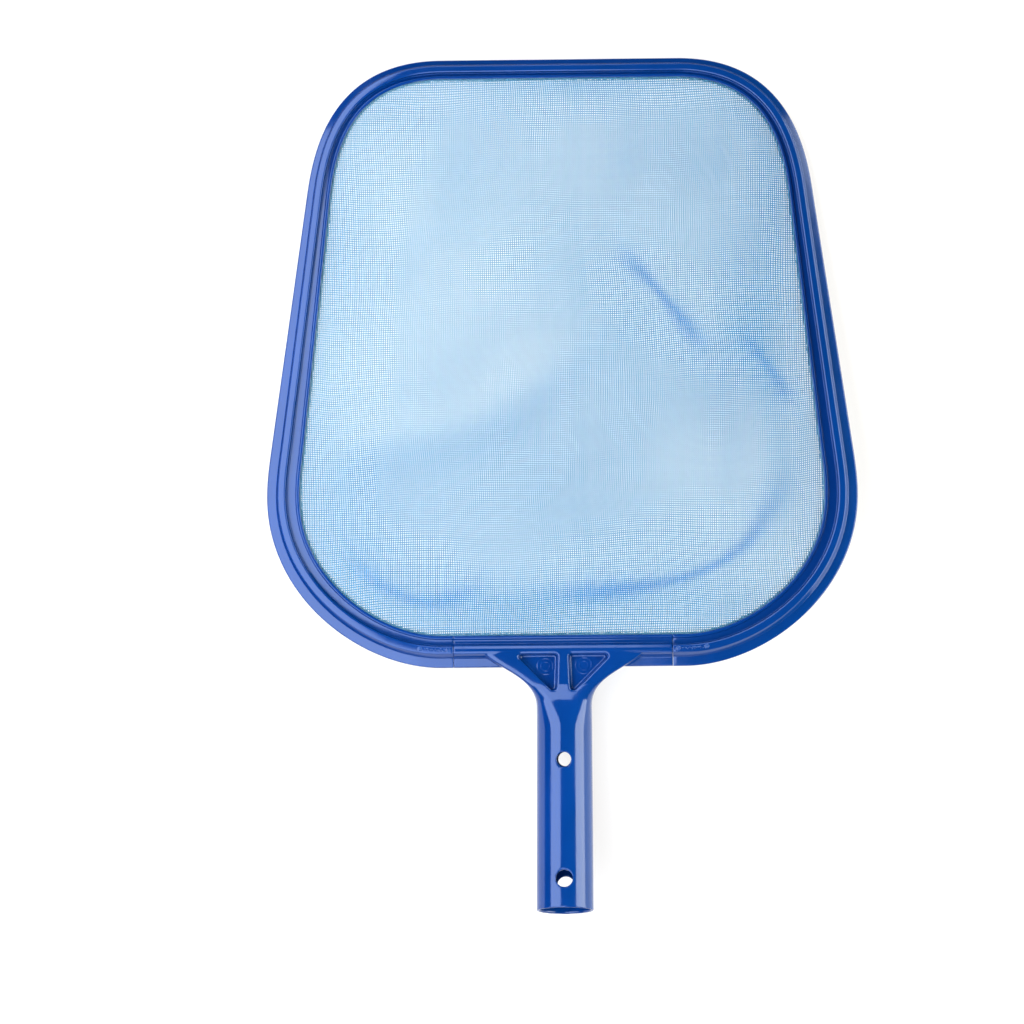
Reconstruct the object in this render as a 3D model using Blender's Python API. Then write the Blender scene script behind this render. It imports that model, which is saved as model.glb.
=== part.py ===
"""Leaf skimmer net for a swimming pool.

A flat skimmer head: a moulded hoop with a hat-shaped section carries a fine
woven net, and a second moulding closes the hoop's lower side and carries the
yoke and the tubular socket for the telescopic pole.

Everything is first laid out in the plane of the hoop:
    u  across the head (the head is symmetric about u = 0)
    v  along the head, 0 at the outer edge of the bottom bar, positive
       towards the leading edge and negative along the socket
    w  out of the hoop's plane, 0 at its back face
The whole head hangs on one empty, which is turned and set so that the head
lies on its back as it does on a table: on the hoop's leading edge and on the
root of the socket.
"""

import math

import bmesh
import bpy
import numpy as np
from mathutils import Matrix, Vector

MM = 0.001

# ---- hoop outline (mm, right half, u >= 0) ---------------------------------
HOOP_LENGTH = 299.0  # outer edge of the bottom bar to the leading edge
TOP_FLAT = 58.0  # half length of the straight leading edge
TOP_CORNER = (124.26, 65.0)  # end of the leading corner: u, distance below the leading edge
TOP_HANDLES = (54.0, 22.0)  # Bezier handle lengths of the leading corner
SIDE_SLOPE = 0.148  # half-width gained per mm towards the handle
SIDE_END = (142.9, 108.0)  # where the straight side ends: u, v
WIDEST = (145.2, 84.0)  # widest point: u, v
BOTTOM_FLAT = 60.0  # half length of the straight bottom bar
BOTTOM_HANDLES = (50.0, 38.0)  # Bezier handle lengths of the lower corner

# ---- hoop section (mm): rim width W, ridge feet and edges, ridge height ----
#                W     a    b    c    e     H    half channel
SECTION_TOP = (9.3, 2.4, 3.1, 5.9, 6.9, 6.6, 1.1)
SECTION_CORNER = (11.4, 3.3, 4.1, 7.0, 8.2, 7.0, 1.2)
SECTION_SIDE = (15.7, 4.7, 5.7, 8.8, 10.5, 7.5, 1.3)
SECTION_WIDE = (16.1, 4.7, 5.9, 9.0, 10.7, 7.5, 1.3)
SECTION_BAR = (15.7, 4.7, 7.0, 10.2, 11.4, 7.5, 1.3)
FULL_RIDGE = 7.5
FLANGE_EDGE = 2.2  # height of the outer flange at its edge
FLANGE_FOOT = 3.3  # height of the outer flange at the ridge
INNER_FLANGE = 3.4
LIP_HEIGHT = 4.3
LIP_WIDTH = 1.7
FLANGE_BACK = 2.0  # underside of the inner flange, which the net passes below
CHANNEL_ROOF = 5.0  # roof of the rear channel in the hoop
BAR_CHANNEL_ROOF = 3.35  # roof of the same channel in the bottom bar

# ---- joints between the two mouldings --------------------------------------
SEAM = 54.0  # half distance between the two seams
GAP = 0.3
TONGUE_LENGTH = 25.0
STAKES = (2.6, 18.0)  # stakes, measured from the seam
STAKE_RADIUS = 0.8
STAKE_HOLE_RADIUS = 1.1

# ---- net, its edge tape and the retaining spline ---------------------------
NET_TOP = 1.7
NET_BOTTOM = 1.3
TAPE_TOP = 1.0
TAPE_BOTTOM = 0.6
TAPE_SHOWS = 1.6  # width of the tape that shows inside the rim
SPLINE_BOTTOM = 0.3
SPLINE_TOP = 3.0
SPLINE_GAP = 1.2  # between the spline's two ends, behind the yoke

# ---- yoke and socket -------------------------------------------------------
SOCKET_TILT = math.radians(8.0)  # the socket rises out of the hoop's plane
ROOT_V = -20.0  # where the socket's round section begins
ROOT_RADIUS = 13.55
END_RADIUS = 14.0
SOCKET_LENGTH = 100.5
YOKE_TIP = (7.1, 40.0)  # tip of the yoke's arm on the ridge: v, half width
YOKE_SLOPE = 1.15  # half width gained per mm of v at that tip
YOKE_HANDLES = (14.5, 15.0)  # Bezier handle lengths of the yoke's edge
YOKE_TOP = 7.45  # front face of the yoke, flush with the ridge
CROWN = 5.3  # crown of the socket at its root, a step below the yoke's face
BORE_RADIUS = 12.5
BORE_END_RADIUS = 12.2
BORE_DEPTH = 97.5
UPPER_HOLE_V = -45.2
UPPER_HOLE_RADIUS = 3.5
LOWER_HOLE_V = -103.3
LOWER_HOLE_RADIUS = 4.1
POCKET_FLOOR = 3.35
POCKET = ((2.5, 6.6), (23.6, 6.6), (6.3, -11.6), (3.2, -11.6))
POCKET_ROUND = 1.5

COLOURS = {
    "hoop_frame": ((0.004, 0.075, 0.36, 1.0), 0.28),
    "handle_yoke": ((0.004, 0.070, 0.35, 1.0), 0.28),
    "mesh_net": ((0.38, 0.60, 0.80, 1.0), 0.6),
    "net_edge_tape": ((0.16, 0.38, 0.62, 1.0), 0.7),
    "net_spline": ((0.006, 0.09, 0.38, 1.0), 0.45),
}


# ---------------------------------------------------------------- outline
def bezier(p0, p1, p2, p3, count=60):
    t = np.linspace(0.0, 1.0, count)[:, None]
    p0, p1, p2, p3 = (np.array(p, float) for p in (p0, p1, p2, p3))
    return (1 - t) ** 3 * p0 + 3 * (1 - t) ** 2 * t * p1 + 3 * (1 - t) * t**2 * p2 + t**3 * p3


def unit(x, y):
    n = math.hypot(x, y)
    return x / n, y / n


def half_outline():
    """The right half of the outer edge, from the leading edge's middle to the bar's middle, and the arc lengths of its corners."""
    top = HOOP_LENGTH
    su, sv = unit(SIDE_SLOPE, -1.0)
    corner = (TOP_CORNER[0], top - TOP_CORNER[1])
    runs = [
        np.array([(0.0, top), (TOP_FLAT, top)]),
        bezier(
            (TOP_FLAT, top),
            (TOP_FLAT + TOP_HANDLES[0], top),
            (corner[0] - su * TOP_HANDLES[1], corner[1] - sv * TOP_HANDLES[1]),
            corner,
        ),
        np.array([corner, SIDE_END]),
        bezier(
            SIDE_END,
            (SIDE_END[0] + su * 9.0, SIDE_END[1] + sv * 9.0),
            (WIDEST[0], WIDEST[1] + 8.0),
            WIDEST,
            30,
        ),
        bezier(
            WIDEST,
            (WIDEST[0], WIDEST[1] - BOTTOM_HANDLES[0]),
            (BOTTOM_FLAT + BOTTOM_HANDLES[1], 0.0),
            (BOTTOM_FLAT, 0.0),
            80,
        ),
        np.array([(BOTTOM_FLAT, 0.0), (0.0, 0.0)]),
    ]
    points = [runs[0][0]]
    marks = [0.0]
    length = 0.0
    lengths = [0.0]
    for run in runs:
        for p in run[1:]:
            length += float(np.hypot(*(p - points[-1])))
            points.append(p)
            lengths.append(length)
        marks.append(length)
    return np.array(points), np.array(lengths), marks


OUTLINE, ARC, MARKS = half_outline()
HALF = MARKS[-1]


def edge_at(s):
    """Point of the outer edge and its inward normal at arc length s, which is negative on the left half."""
    side = -1.0 if s < 0 else 1.0
    a = min(abs(s), HALF)
    step = 0.5
    p = np.array([np.interp(a, ARC, OUTLINE[:, i]) for i in (0, 1)])
    q0 = np.array([np.interp(max(a - step, 0.0), ARC, OUTLINE[:, i]) for i in (0, 1)])
    q1 = np.array([np.interp(min(a + step, HALF), ARC, OUTLINE[:, i]) for i in (0, 1)])
    tu, tv = unit(*(q1 - q0))
    nu, nv = tv, -tu
    return np.array([side * p[0], p[1]]), np.array([side * nu, nv])


def section_at(s):
    """Section values at arc length s, eased between the five places where they are given."""
    a = abs(s)
    places = (0.0, MARKS[1], MARKS[2], MARKS[3], MARKS[4], MARKS[5], HALF)
    values = (
        SECTION_TOP,
        SECTION_TOP,
        SECTION_CORNER,
        SECTION_SIDE,
        SECTION_WIDE,
        SECTION_BAR,
        SECTION_BAR,
    )
    return tuple(float(np.interp(a, places, [v[i] for v in values])) for i in range(7))


def stations(start, end, curve_step=7.0, straight_step=16.0):
    """Arc lengths from start to end, closer together round the corners, with one on every corner mark."""
    curved = {1, 3, 4}
    marks = []
    for i in range(len(MARKS) - 1):
        a, b = MARKS[i], MARKS[i + 1]
        n = max(1, int(round((b - a) / (curve_step if i in curved else straight_step))))
        marks += [a + (b - a) * k / n for k in range(n)]
    marks.append(HALF)
    full = sorted({round(x, 6) for m in marks for x in (m, -m)})
    inner = [x for x in full if start + 1.0 < x < end - 1.0]
    return [start] + inner + [end]


def channel_middle(values):
    return 0.5 * (values[2] + values[3])


# ---------------------------------------------------------------- sections
def rim_section(s, roof):
    """Closed section of the rim: (distance in from the outer edge, height)."""
    W, a, b, c, e, H, ch = section_at(s)
    k = H / FULL_RIDGE
    m = 0.5 * (b + c)
    top = min(roof, CHANNEL_ROOF * k) if roof > BAR_CHANNEL_ROOF else roof
    return [
        (0.0, 0.0),
        (0.0, FLANGE_EDGE * k - 0.6),
        (0.5, FLANGE_EDGE * k),
        (a, FLANGE_FOOT * k),
        (b - 0.1, H - 0.5),
        (b + 0.4, H),
        (c - 0.4, H),
        (c + 0.15, H - 0.5),
        (e, INNER_FLANGE * k + 0.2),
        (W - LIP_WIDTH - 0.2, INNER_FLANGE * k),
        (W - LIP_WIDTH, LIP_HEIGHT * k - 0.1),
        (W - 0.4, LIP_HEIGHT * k),
        (W, LIP_HEIGHT * k - 0.4),
        (W, FLANGE_BACK),
        (m + ch, FLANGE_BACK),
        (m + ch, top),
        (m - ch, top),
        (m - ch, 0.0),
    ]


def spline_section(s):
    v = section_at(s)
    m, ch = channel_middle(v), v[6]
    d0, d1 = m - ch + GAP, m + ch - 1.0
    return [(d0, SPLINE_BOTTOM), (d0, SPLINE_TOP), (d1, SPLINE_TOP), (d1, SPLINE_BOTTOM)]


def tape_section(s):
    v = section_at(s)
    m, ch = channel_middle(v), v[6]
    d0, d1, d2 = m + ch - 0.7, m + ch - 0.3, v[0] + TAPE_SHOWS
    return [
        (d0, TAPE_BOTTOM),
        (d0, SPLINE_TOP),
        (d1, SPLINE_TOP),
        (d1, TAPE_TOP),
        (d2, TAPE_TOP),
        (d2, TAPE_BOTTOM),
    ]


def tongue_section(s):
    v = section_at(s)
    m, ch = channel_middle(v), v[6]
    lo, hi = BAR_CHANNEL_ROOF + 0.05, CHANNEL_ROOF - GAP
    return [(m - ch + GAP, lo), (m - ch + GAP, hi), (m + ch - GAP, hi), (m + ch - GAP, lo)]


def placed(s, section):
    p, n = edge_at(s)
    return [(p[0] + n[0] * d, p[1] + n[1] * d, w) for d, w in section]


# ---------------------------------------------------------------- mesh tools
def clear_scene():
    for ob in list(bpy.data.objects):
        bpy.data.objects.remove(ob, do_unlink=True)
    for group in (bpy.data.meshes, bpy.data.curves, bpy.data.materials):
        for block in list(group):
            group.remove(block)
    for col in list(bpy.data.collections):
        bpy.data.collections.remove(col)


def loft(name, rings, collection, closed=False, capped=True):
    """A skin through rings of equal point counts. Closed joins the last ring to the first."""
    bm = bmesh.new()
    rows = [[bm.verts.new([c * MM for c in p]) for p in ring] for ring in rings]
    n = len(rows[0])
    last = len(rows) if closed else len(rows) - 1
    for i in range(last):
        r0, r1 = rows[i], rows[(i + 1) % len(rows)]
        for j in range(n):
            k = (j + 1) % n
            bm.faces.new((r0[j], r0[k], r1[k], r1[j]))
    if capped and not closed:
        bm.faces.new(rows[0])
        bm.faces.new(list(reversed(rows[-1])))
    bmesh.ops.recalc_face_normals(bm, faces=bm.faces[:])
    mesh = bpy.data.meshes.new(name)
    bm.to_mesh(mesh)
    bm.free()
    ob = bpy.data.objects.new(name, mesh)
    collection.objects.link(ob)
    return ob


def cylinder(name, radius, depth, at, axis, collection, sides=24, radius2=None):
    """A cylinder or cone from at along axis, made with its base at the origin."""
    bm = bmesh.new()
    bmesh.ops.create_cone(
        bm,
        cap_ends=True,
        segments=sides,
        radius1=radius * MM,
        radius2=(radius if radius2 is None else radius2) * MM,
        depth=depth * MM,
        matrix=Matrix.Translation((0, 0, 0.5 * depth * MM)),
    )
    mesh = bpy.data.meshes.new(name)
    bm.to_mesh(mesh)
    bm.free()
    ob = bpy.data.objects.new(name, mesh)
    ob.rotation_euler = Vector(axis).to_track_quat("Z", "Y").to_euler()
    ob.location = [c * MM for c in at]
    collection.objects.link(ob)
    return ob


def as_tool(ob):
    ob.hide_render = True
    ob.display_type = "WIRE"
    return ob


def boolean(ob, tool, operation):
    as_tool(tool)
    mod = ob.modifiers.new(operation.lower() + "_" + tool.name, "BOOLEAN")
    mod.operation = operation
    mod.solver = "EXACT"
    mod.object = tool


def material_for(ob):
    colour, rough = COLOURS[ob.name]
    mat = bpy.data.materials.new(ob.name)
    mat.use_nodes = True
    shader = mat.node_tree.nodes["Principled BSDF"]
    shader.inputs["Base Color"].default_value = colour
    shader.inputs["Roughness"].default_value = rough
    shader.inputs["Metallic"].default_value = 0.0
    mat.diffuse_color = colour
    ob.data.materials.append(mat)


def smooth(ob):
    ob.data.shade_smooth()
    ob.data.set_sharp_from_angle(angle=math.radians(30))


# ---------------------------------------------------------------- rim pieces
def make_hoop(col, tools):
    end = HALF - SEAM - 0.5 * GAP
    rings = [placed(s, rim_section(s, CHANNEL_ROOF)) for s in stations(-end, end)]
    hoop = loft("hoop_frame", rings, col)
    for side in (-1, 1):
        for i, along in enumerate(STAKES):
            s = side * (HALF - SEAM - along)
            p, n = edge_at(s)
            m = channel_middle(section_at(s))
            tool = cylinder(
                f"stake_hole_{'left' if side < 0 else 'right'}_{i + 1}",
                STAKE_HOLE_RADIUS,
                4.5,
                (p[0] + n[0] * m, p[1] + n[1] * m, 4.2),
                (0, 0, 1),
                tools,
                12,
            )
            boolean(hoop, tool, "DIFFERENCE")
    return hoop


def full_loop():
    ring = stations(-HALF, HALF)
    return ring[:-1]


def make_net(col):
    """The woven net as a flat sheet, out to the mouth of the rear channel."""
    rim = []
    for s in full_loop():
        v = section_at(s)
        rim.append((s, channel_middle(v) + v[6]))
    rings = [
        [placed(s, [(d, w)])[0] for s, d in rim] for w in (NET_BOTTOM, NET_TOP)
    ]
    return loft("mesh_net", rings, col)


def make_tape(col):
    return loft(
        "net_edge_tape", [placed(s, tape_section(s)) for s in full_loop()], col, closed=True
    )


def make_spline(col):
    """One long strip pressed into the rear channel, its two ends meeting behind the yoke."""
    end = HALF - 0.5 * SPLINE_GAP
    return loft("net_spline", [placed(s, spline_section(s)) for s in stations(-end, end)], col)


# ---------------------------------------------------------------- yoke and socket
def ease(x, x0, x1):
    t = min(1.0, max(0.0, (x - x0) / (x1 - x0)))
    return t * t * (3 - 2 * t)


def yoke_edge(count):
    """The yoke's edge, from the tip of the arm on the ridge down to the socket's root: rows of v and half width."""
    run = 1.0 / math.hypot(1.0, YOKE_SLOPE)
    edge = bezier(
        YOKE_TIP,
        (YOKE_TIP[0] - YOKE_HANDLES[0] * run, YOKE_TIP[1] - YOKE_HANDLES[0] * run * YOKE_SLOPE),
        (ROOT_V + YOKE_HANDLES[1], ROOT_RADIUS),
        (ROOT_V, ROOT_RADIUS),
        count,
    )
    return edge


YOKE_EDGE = yoke_edge(19)


def yoke_half_width(v):
    return float(np.interp(v, YOKE_EDGE[::-1, 0], YOKE_EDGE[::-1, 1]))


def yoke_section(v, count=40):
    """Section of the yoke at v: a flat plate in front, and behind it a bulge that grows into the socket."""
    t = ease(-v, -2.0, 20.0)  # 0 at the rim, 1 at the socket's root
    half = yoke_half_width(v)
    front = YOKE_TOP + (CROWN - YOKE_TOP) * ease(-v, 8.0, 20.0)
    axis_w = CROWN - ROOT_RADIUS
    mid = 4.0 + (axis_w - 4.0) * ease(-v, 6.0, 20.0)
    plate_back = 0.6 + (0.9 - 0.6) * ease(-v, -4.0, 4.0)
    back = 0.75 + (axis_w - ROOT_RADIUS - 0.75) * ease(-v, -6.0, 20.0)
    bulge_half = 6.0 + (half - 6.0) * ease(-v, -7.0, 17.0) if v < 0 else 6.0 + 3.0 * ease(-v, -7.0, 0.0)
    if v < 0:
        bulge_half = 9.0 + (half - 9.0) * ease(-v, 0.0, 18.0)
    n = 6.0 + (2.0 - 6.0) * ease(-v, 9.0, 20.0)
    tilt = SOCKET_TILT * ease(-v, 2.0, 20.0)
    ring = []
    for i in range(count):
        a = 2 * math.pi * i / count
        ca, sa = math.cos(a), math.sin(a)
        x = half * math.copysign(abs(ca) ** (2 / n), ca)
        if sa >= 0:
            h = (front - mid) * abs(sa) ** (2 / n)
        else:
            plate = (mid - plate_back) * abs(sa) ** (2 / n) if mid > plate_back else 0.0
            inside = max(0.0, 1 - (x / bulge_half) ** 2)
            bulge = max(mid - back, 0.0) * math.sqrt(inside)
            fade = 1.0 - ease(-v, 8.0, 19.0)
            h = -((fade * plate**4 + bulge**4) ** 0.25)
        ring.append((x, v + h * math.sin(tilt), mid + h * math.cos(tilt)))
    return ring


def socket_point(along):
    """A point of the socket's axis, measured from its root."""
    return (
        0.0,
        ROOT_V - along * math.cos(SOCKET_TILT),
        CROWN - ROOT_RADIUS + along * math.sin(SOCKET_TILT),
    )


def socket_ring(along, radius, count=40):
    c = socket_point(along)
    ring = []
    for i in range(count):
        a = 2 * math.pi * i / count
        h = radius * math.sin(a)
        ring.append(
            (
                radius * math.cos(a),
                c[1] + h * math.sin(SOCKET_TILT),
                c[2] + h * math.cos(SOCKET_TILT),
            )
        )
    return ring


def rounded_polygon(corners, radius, per_corner=5):
    """Points round a convex polygon with its corners rounded."""
    out = []
    n = len(corners)
    for i in range(n):
        p0, p1, p2 = (np.array(corners[(i + k) % n], float) for k in (-1, 0, 1))
        d0, d1 = (p0 - p1), (p2 - p1)
        l0, l1 = np.linalg.norm(d0), np.linalg.norm(d1)
        d0, d1 = d0 / l0, d1 / l1
        half = 0.5 * math.acos(max(-1.0, min(1.0, float(d0 @ d1))))
        back = min(radius / math.tan(half), 0.45 * l0, 0.45 * l1)
        a, b = p1 + d0 * back, p1 + d1 * back
        for k in range(per_corner + 1):
            t = k / per_corner
            out.append((1 - t) ** 2 * a + 2 * (1 - t) * t * p1 + t**2 * b)
    return out


def shrunk(corners, by):
    """The polygon with every side moved inwards by a distance."""
    n = len(corners)
    area = sum(
        corners[i][0] * corners[(i + 1) % n][1] - corners[(i + 1) % n][0] * corners[i][1]
        for i in range(n)
    )
    turn = 1.0 if area > 0 else -1.0
    lines = []
    for i in range(n):
        p, q = np.array(corners[i], float), np.array(corners[(i + 1) % n], float)
        t = (q - p) / np.linalg.norm(q - p)
        nrm = np.array([-t[1], t[0]]) * turn
        lines.append((p + nrm * by, t))
    out = []
    for i in range(n):
        (p, t), (q, r) = lines[i - 1], lines[i]
        k = np.linalg.solve(np.array([[t[0], -r[0]], [t[1], -r[1]]]), q - p)
        out.append(tuple(p + t * k[0]))
    return out


def pocket_tool(side, collection):
    """A drafted three-sided pocket, narrower at its floor."""
    rings = []
    for inset, w, rnd in ((1.5, POCKET_FLOOR, 0.8), (0.9, POCKET_FLOOR + 0.5, 1.2), (0.0, YOKE_TOP + 1.2, POCKET_ROUND)):
        corners = shrunk(POCKET, inset)
        rings.append([(side * x, y, w) for x, y in rounded_polygon(corners, rnd, 3)])
    return loft(f"pocket_{'left' if side < 0 else 'right'}", rings, collection)


def make_handle(col, tools):
    rings = [yoke_section(v) for v, _ in YOKE_EDGE[:-1]]
    steps = [0.0, 4.0, 25.0, 50.0, 75.0, SOCKET_LENGTH]
    for along in steps:
        t = along / SOCKET_LENGTH
        rings.append(socket_ring(along, ROOT_RADIUS + (END_RADIUS - ROOT_RADIUS) * t))
    handle = loft("handle_yoke", rings, col)

    end = SEAM - 0.5 * GAP
    bar_s = [HALF - x for x in (end, 42.0, 30.0, 18.0, 6.0)]
    ring_s = bar_s + [2 * HALF - x for x in reversed(bar_s)]
    bar = loft(
        "bottom_bar",
        [
            placed(s if s <= HALF else s - 2 * HALF, rim_section(s if s <= HALF else s - 2 * HALF, BAR_CHANNEL_ROOF))
            for s in ring_s
        ],
        tools,
    )
    boolean(handle, bar, "UNION")

    for side in (-1, 1):
        word = "left" if side < 0 else "right"
        places = [HALF - SEAM + 6.0 - (TONGUE_LENGTH + 6.0) * i / 6 for i in range(7)]
        tongue = loft(
            f"tongue_{word}", [placed(side * s, tongue_section(side * s)) for s in places], tools
        )
        boolean(handle, tongue, "UNION")
        for i, along in enumerate(STAKES):
            s = side * (HALF - SEAM - along)
            p, n = edge_at(s)
            m = channel_middle(section_at(s))
            stake = cylinder(
                f"stake_{word}_{i + 1}",
                STAKE_RADIUS,
                FULL_RIDGE + 0.15 - 4.0,
                (p[0] + n[0] * m, p[1] + n[1] * m, 4.0),
                (0, 0, 1),
                tools,
                10,
            )
            boolean(handle, stake, "UNION")

    along_axis = (0.0, math.cos(SOCKET_TILT), -math.sin(SOCKET_TILT))
    mouth = socket_point(SOCKET_LENGTH + 2.0)
    bore = cylinder(
        "socket_bore", BORE_RADIUS, BORE_DEPTH + 2.0, mouth, along_axis, tools, 40, BORE_END_RADIUS
    )
    boolean(handle, bore, "DIFFERENCE")
    upper = cylinder(
        "upper_pin_hole",
        UPPER_HOLE_RADIUS,
        60.0,
        (0.0, UPPER_HOLE_V, -35.0),
        (0, 0, 1),
        tools,
        24,
    )
    boolean(handle, upper, "DIFFERENCE")
    across = (0.0, math.sin(SOCKET_TILT), math.cos(SOCKET_TILT))
    along = (-LOWER_HOLE_V + ROOT_V + END_RADIUS * math.sin(SOCKET_TILT)) / math.cos(SOCKET_TILT)
    c = socket_point(along)
    lower = cylinder(
        "lower_pin_hole",
        LOWER_HOLE_RADIUS,
        60.0,
        (0.0, c[1] - 30.0 * across[1], c[2] - 30.0 * across[2]),
        across,
        tools,
        24,
    )
    boolean(handle, lower, "DIFFERENCE")
    for side in (-1, 1):
        boolean(handle, pocket_tool(side, tools), "DIFFERENCE")
    return handle


# ---------------------------------------------------------------- resting place
def world_points(ob):
    bpy.context.view_layer.update()
    graph = bpy.context.evaluated_depsgraph_get()
    done = ob.evaluated_get(graph)
    mesh = done.to_mesh()
    pts = np.array([v.co for v in mesh.vertices], float)
    done.to_mesh_clear()
    return pts


def lay_down(empty, hoop, handle):
    """Turns the head about u until the leading edge and the socket's root stand on one level, and sets the origin under the middle of its box."""
    a, b = world_points(hoop), world_points(handle)

    def low(pts, angle):
        return float((pts[:, 1] * math.sin(angle) + pts[:, 2] * math.cos(angle)).min())

    lo, hi = math.radians(-8.0), 0.0
    for _ in range(60):
        mid = 0.5 * (lo + hi)
        if low(a, mid) < low(b, mid):
            lo = mid
        else:
            hi = mid
    angle = 0.5 * (lo + hi)
    pts = np.vstack([a, b])
    y = pts[:, 1] * math.cos(angle) - pts[:, 2] * math.sin(angle)
    z = pts[:, 1] * math.sin(angle) + pts[:, 2] * math.cos(angle)
    empty.rotation_euler = (angle, 0.0, 0.0)
    empty.location = (0.0, -0.5 * float(y.min() + y.max()), -float(z.min()))


def main():
    clear_scene()
    scene = bpy.context.scene
    col = bpy.data.collections.new("leaf_skimmer_net")
    tools = bpy.data.collections.new("cutters_and_guides")
    scene.collection.children.link(col)
    scene.collection.children.link(tools)

    hoop = make_hoop(col, tools)
    handle = make_handle(col, tools)
    net = make_net(col)
    tape = make_tape(col)
    spline = make_spline(col)

    for ob in (hoop, handle, net, tape, spline):
        material_for(ob)
        smooth(ob)

    head = bpy.data.objects.new("skimmer_head", None)
    col.objects.link(head)
    lay_down(head, hoop, handle)
    for ob in list(col.objects) + list(tools.objects):
        if ob is not head:
            ob.parent = head
    bpy.context.view_layer.update()


main()
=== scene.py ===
"""Leaf skimmer net: the finished surfaces, the woven net and the studio.

The visual pieces are made in the plane of the hoop, in millimetres:
    u  across the head
    v  along the head, 0 at the outer edge of the bottom bar, positive towards
       the leading edge and negative along the socket
    w  out of the hoop's plane, 0 at its back face
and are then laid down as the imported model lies.
"""

import math

import bmesh
import bpy
import numpy as np
from mathutils import Matrix, Vector, noise


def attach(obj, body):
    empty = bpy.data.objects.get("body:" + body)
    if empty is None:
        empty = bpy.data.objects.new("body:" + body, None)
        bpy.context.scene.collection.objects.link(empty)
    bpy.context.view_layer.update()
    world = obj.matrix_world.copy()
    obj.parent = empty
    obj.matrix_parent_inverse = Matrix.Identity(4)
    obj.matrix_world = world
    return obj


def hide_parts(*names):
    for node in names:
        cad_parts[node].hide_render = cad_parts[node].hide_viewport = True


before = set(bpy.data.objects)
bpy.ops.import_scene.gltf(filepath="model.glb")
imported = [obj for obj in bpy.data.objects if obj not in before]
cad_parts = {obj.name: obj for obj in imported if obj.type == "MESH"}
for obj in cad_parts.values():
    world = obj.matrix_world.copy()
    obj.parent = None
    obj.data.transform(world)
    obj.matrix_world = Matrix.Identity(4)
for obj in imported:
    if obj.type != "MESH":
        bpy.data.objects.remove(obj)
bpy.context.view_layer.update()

MM = 0.001

# ---- how the head lies ------------------------------------------------------
LIE_ANGLE = math.radians(-3.8630901077620967)
LIE_PLACE = (0.0, -0.08833437412977219, 0.020144397392868996)
LIE = Matrix.Translation(LIE_PLACE) @ Matrix.Rotation(LIE_ANGLE, 4, "X")
LIE_NP = np.array(LIE, float)

# ---- the design's sizes, in mm ---------------------------------------------
HOOP_LENGTH = 299.0
TOP_FLAT = 58.0
TOP_CORNER = (124.26, 65.0)
TOP_HANDLES = (54.0, 22.0)
SIDE_SLOPE = 0.148
SIDE_END = (142.9, 108.0)
WIDEST = (145.2, 84.0)
BOTTOM_FLAT = 60.0
BOTTOM_HANDLES = (50.0, 38.0)
#                W     a    b    c    e     H    half channel
SECTION_TOP = (9.3, 2.4, 3.1, 5.9, 6.9, 6.6, 1.1)
SECTION_CORNER = (11.4, 3.3, 4.1, 7.0, 8.2, 7.0, 1.2)
SECTION_SIDE = (15.7, 4.7, 5.7, 8.8, 10.5, 7.5, 1.3)
SECTION_WIDE = (16.1, 4.7, 5.9, 9.0, 10.7, 7.5, 1.3)
SECTION_BAR = (15.7, 4.7, 7.0, 10.2, 11.4, 7.5, 1.3)
FULL_RIDGE = 7.5
FLANGE_EDGE = 2.2
FLANGE_FOOT = 3.3
INNER_FLANGE = 3.4
LIP_HEIGHT = 4.3
LIP_WIDTH = 1.7
FLANGE_BACK = 2.0
CHANNEL_ROOF = 5.0
BAR_CHANNEL_ROOF = 3.35
SEAM = 54.0
GAP = 0.3
TONGUE_LENGTH = 25.0
STAKES = (2.6, 18.0)
NET_MIDDLE = 1.5
SPLINE_BOTTOM, SPLINE_TOP, SPLINE_GAP = 0.3, 3.0, 1.2
SOCKET_TILT = math.radians(8.0)
ROOT_V = -20.0
ROOT_RADIUS = 13.55
END_RADIUS = 14.0
SOCKET_LENGTH = 100.5
YOKE_TIP = (7.1, 40.0)
YOKE_SLOPE = 1.15
YOKE_HANDLES = (14.5, 15.0)
YOKE_TOP = 7.45
CROWN = 5.3
BORE_RADIUS = 12.5
BORE_END_RADIUS = 12.2
BORE_DEPTH = 97.5
UPPER_HOLE_V = -45.2
UPPER_HOLE_RADIUS = 3.5
LOWER_HOLE_V = -103.3
LOWER_HOLE_RADIUS = 4.1
POCKET_FLOOR = 3.35
POCKET = ((2.3, 6.8), (24.6, 6.8), (6.1, -11.9), (3.0, -11.9))

# ---- the net ----------------------------------------------------------------
PITCH = 1.06  # thread spacing
WEAVE_TURN = math.radians(0.9)  # the cloth isn't cut quite square
THREAD_WIDE = 0.226  # half width of a thread
THREAD_THICK = 0.105
CROSSING = 0.10  # warp lies above the weft by twice this
SAG = 3.2  # deepest sag of the slack net
HEM_SHOWS = 1.5


def unit(x, y):
    n = math.hypot(x, y)
    return x / n, y / n


def smoothstep(x, x0, x1):
    t = np.clip((np.asarray(x, float) - x0) / (x1 - x0), 0.0, 1.0)
    return t * t * (3 - 2 * t)


def ease(x, x0, x1):
    t = min(1.0, max(0.0, (x - x0) / (x1 - x0)))
    return t * t * (3 - 2 * t)


# =============================================================== the outline
def bezier(p0, p1, p2, p3, count):
    t = np.linspace(0.0, 1.0, count)[:, None]
    p0, p1, p2, p3 = (np.array(p, float) for p in (p0, p1, p2, p3))
    return (1 - t) ** 3 * p0 + 3 * (1 - t) ** 2 * t * p1 + 3 * (1 - t) * t**2 * p2 + t**3 * p3


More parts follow.
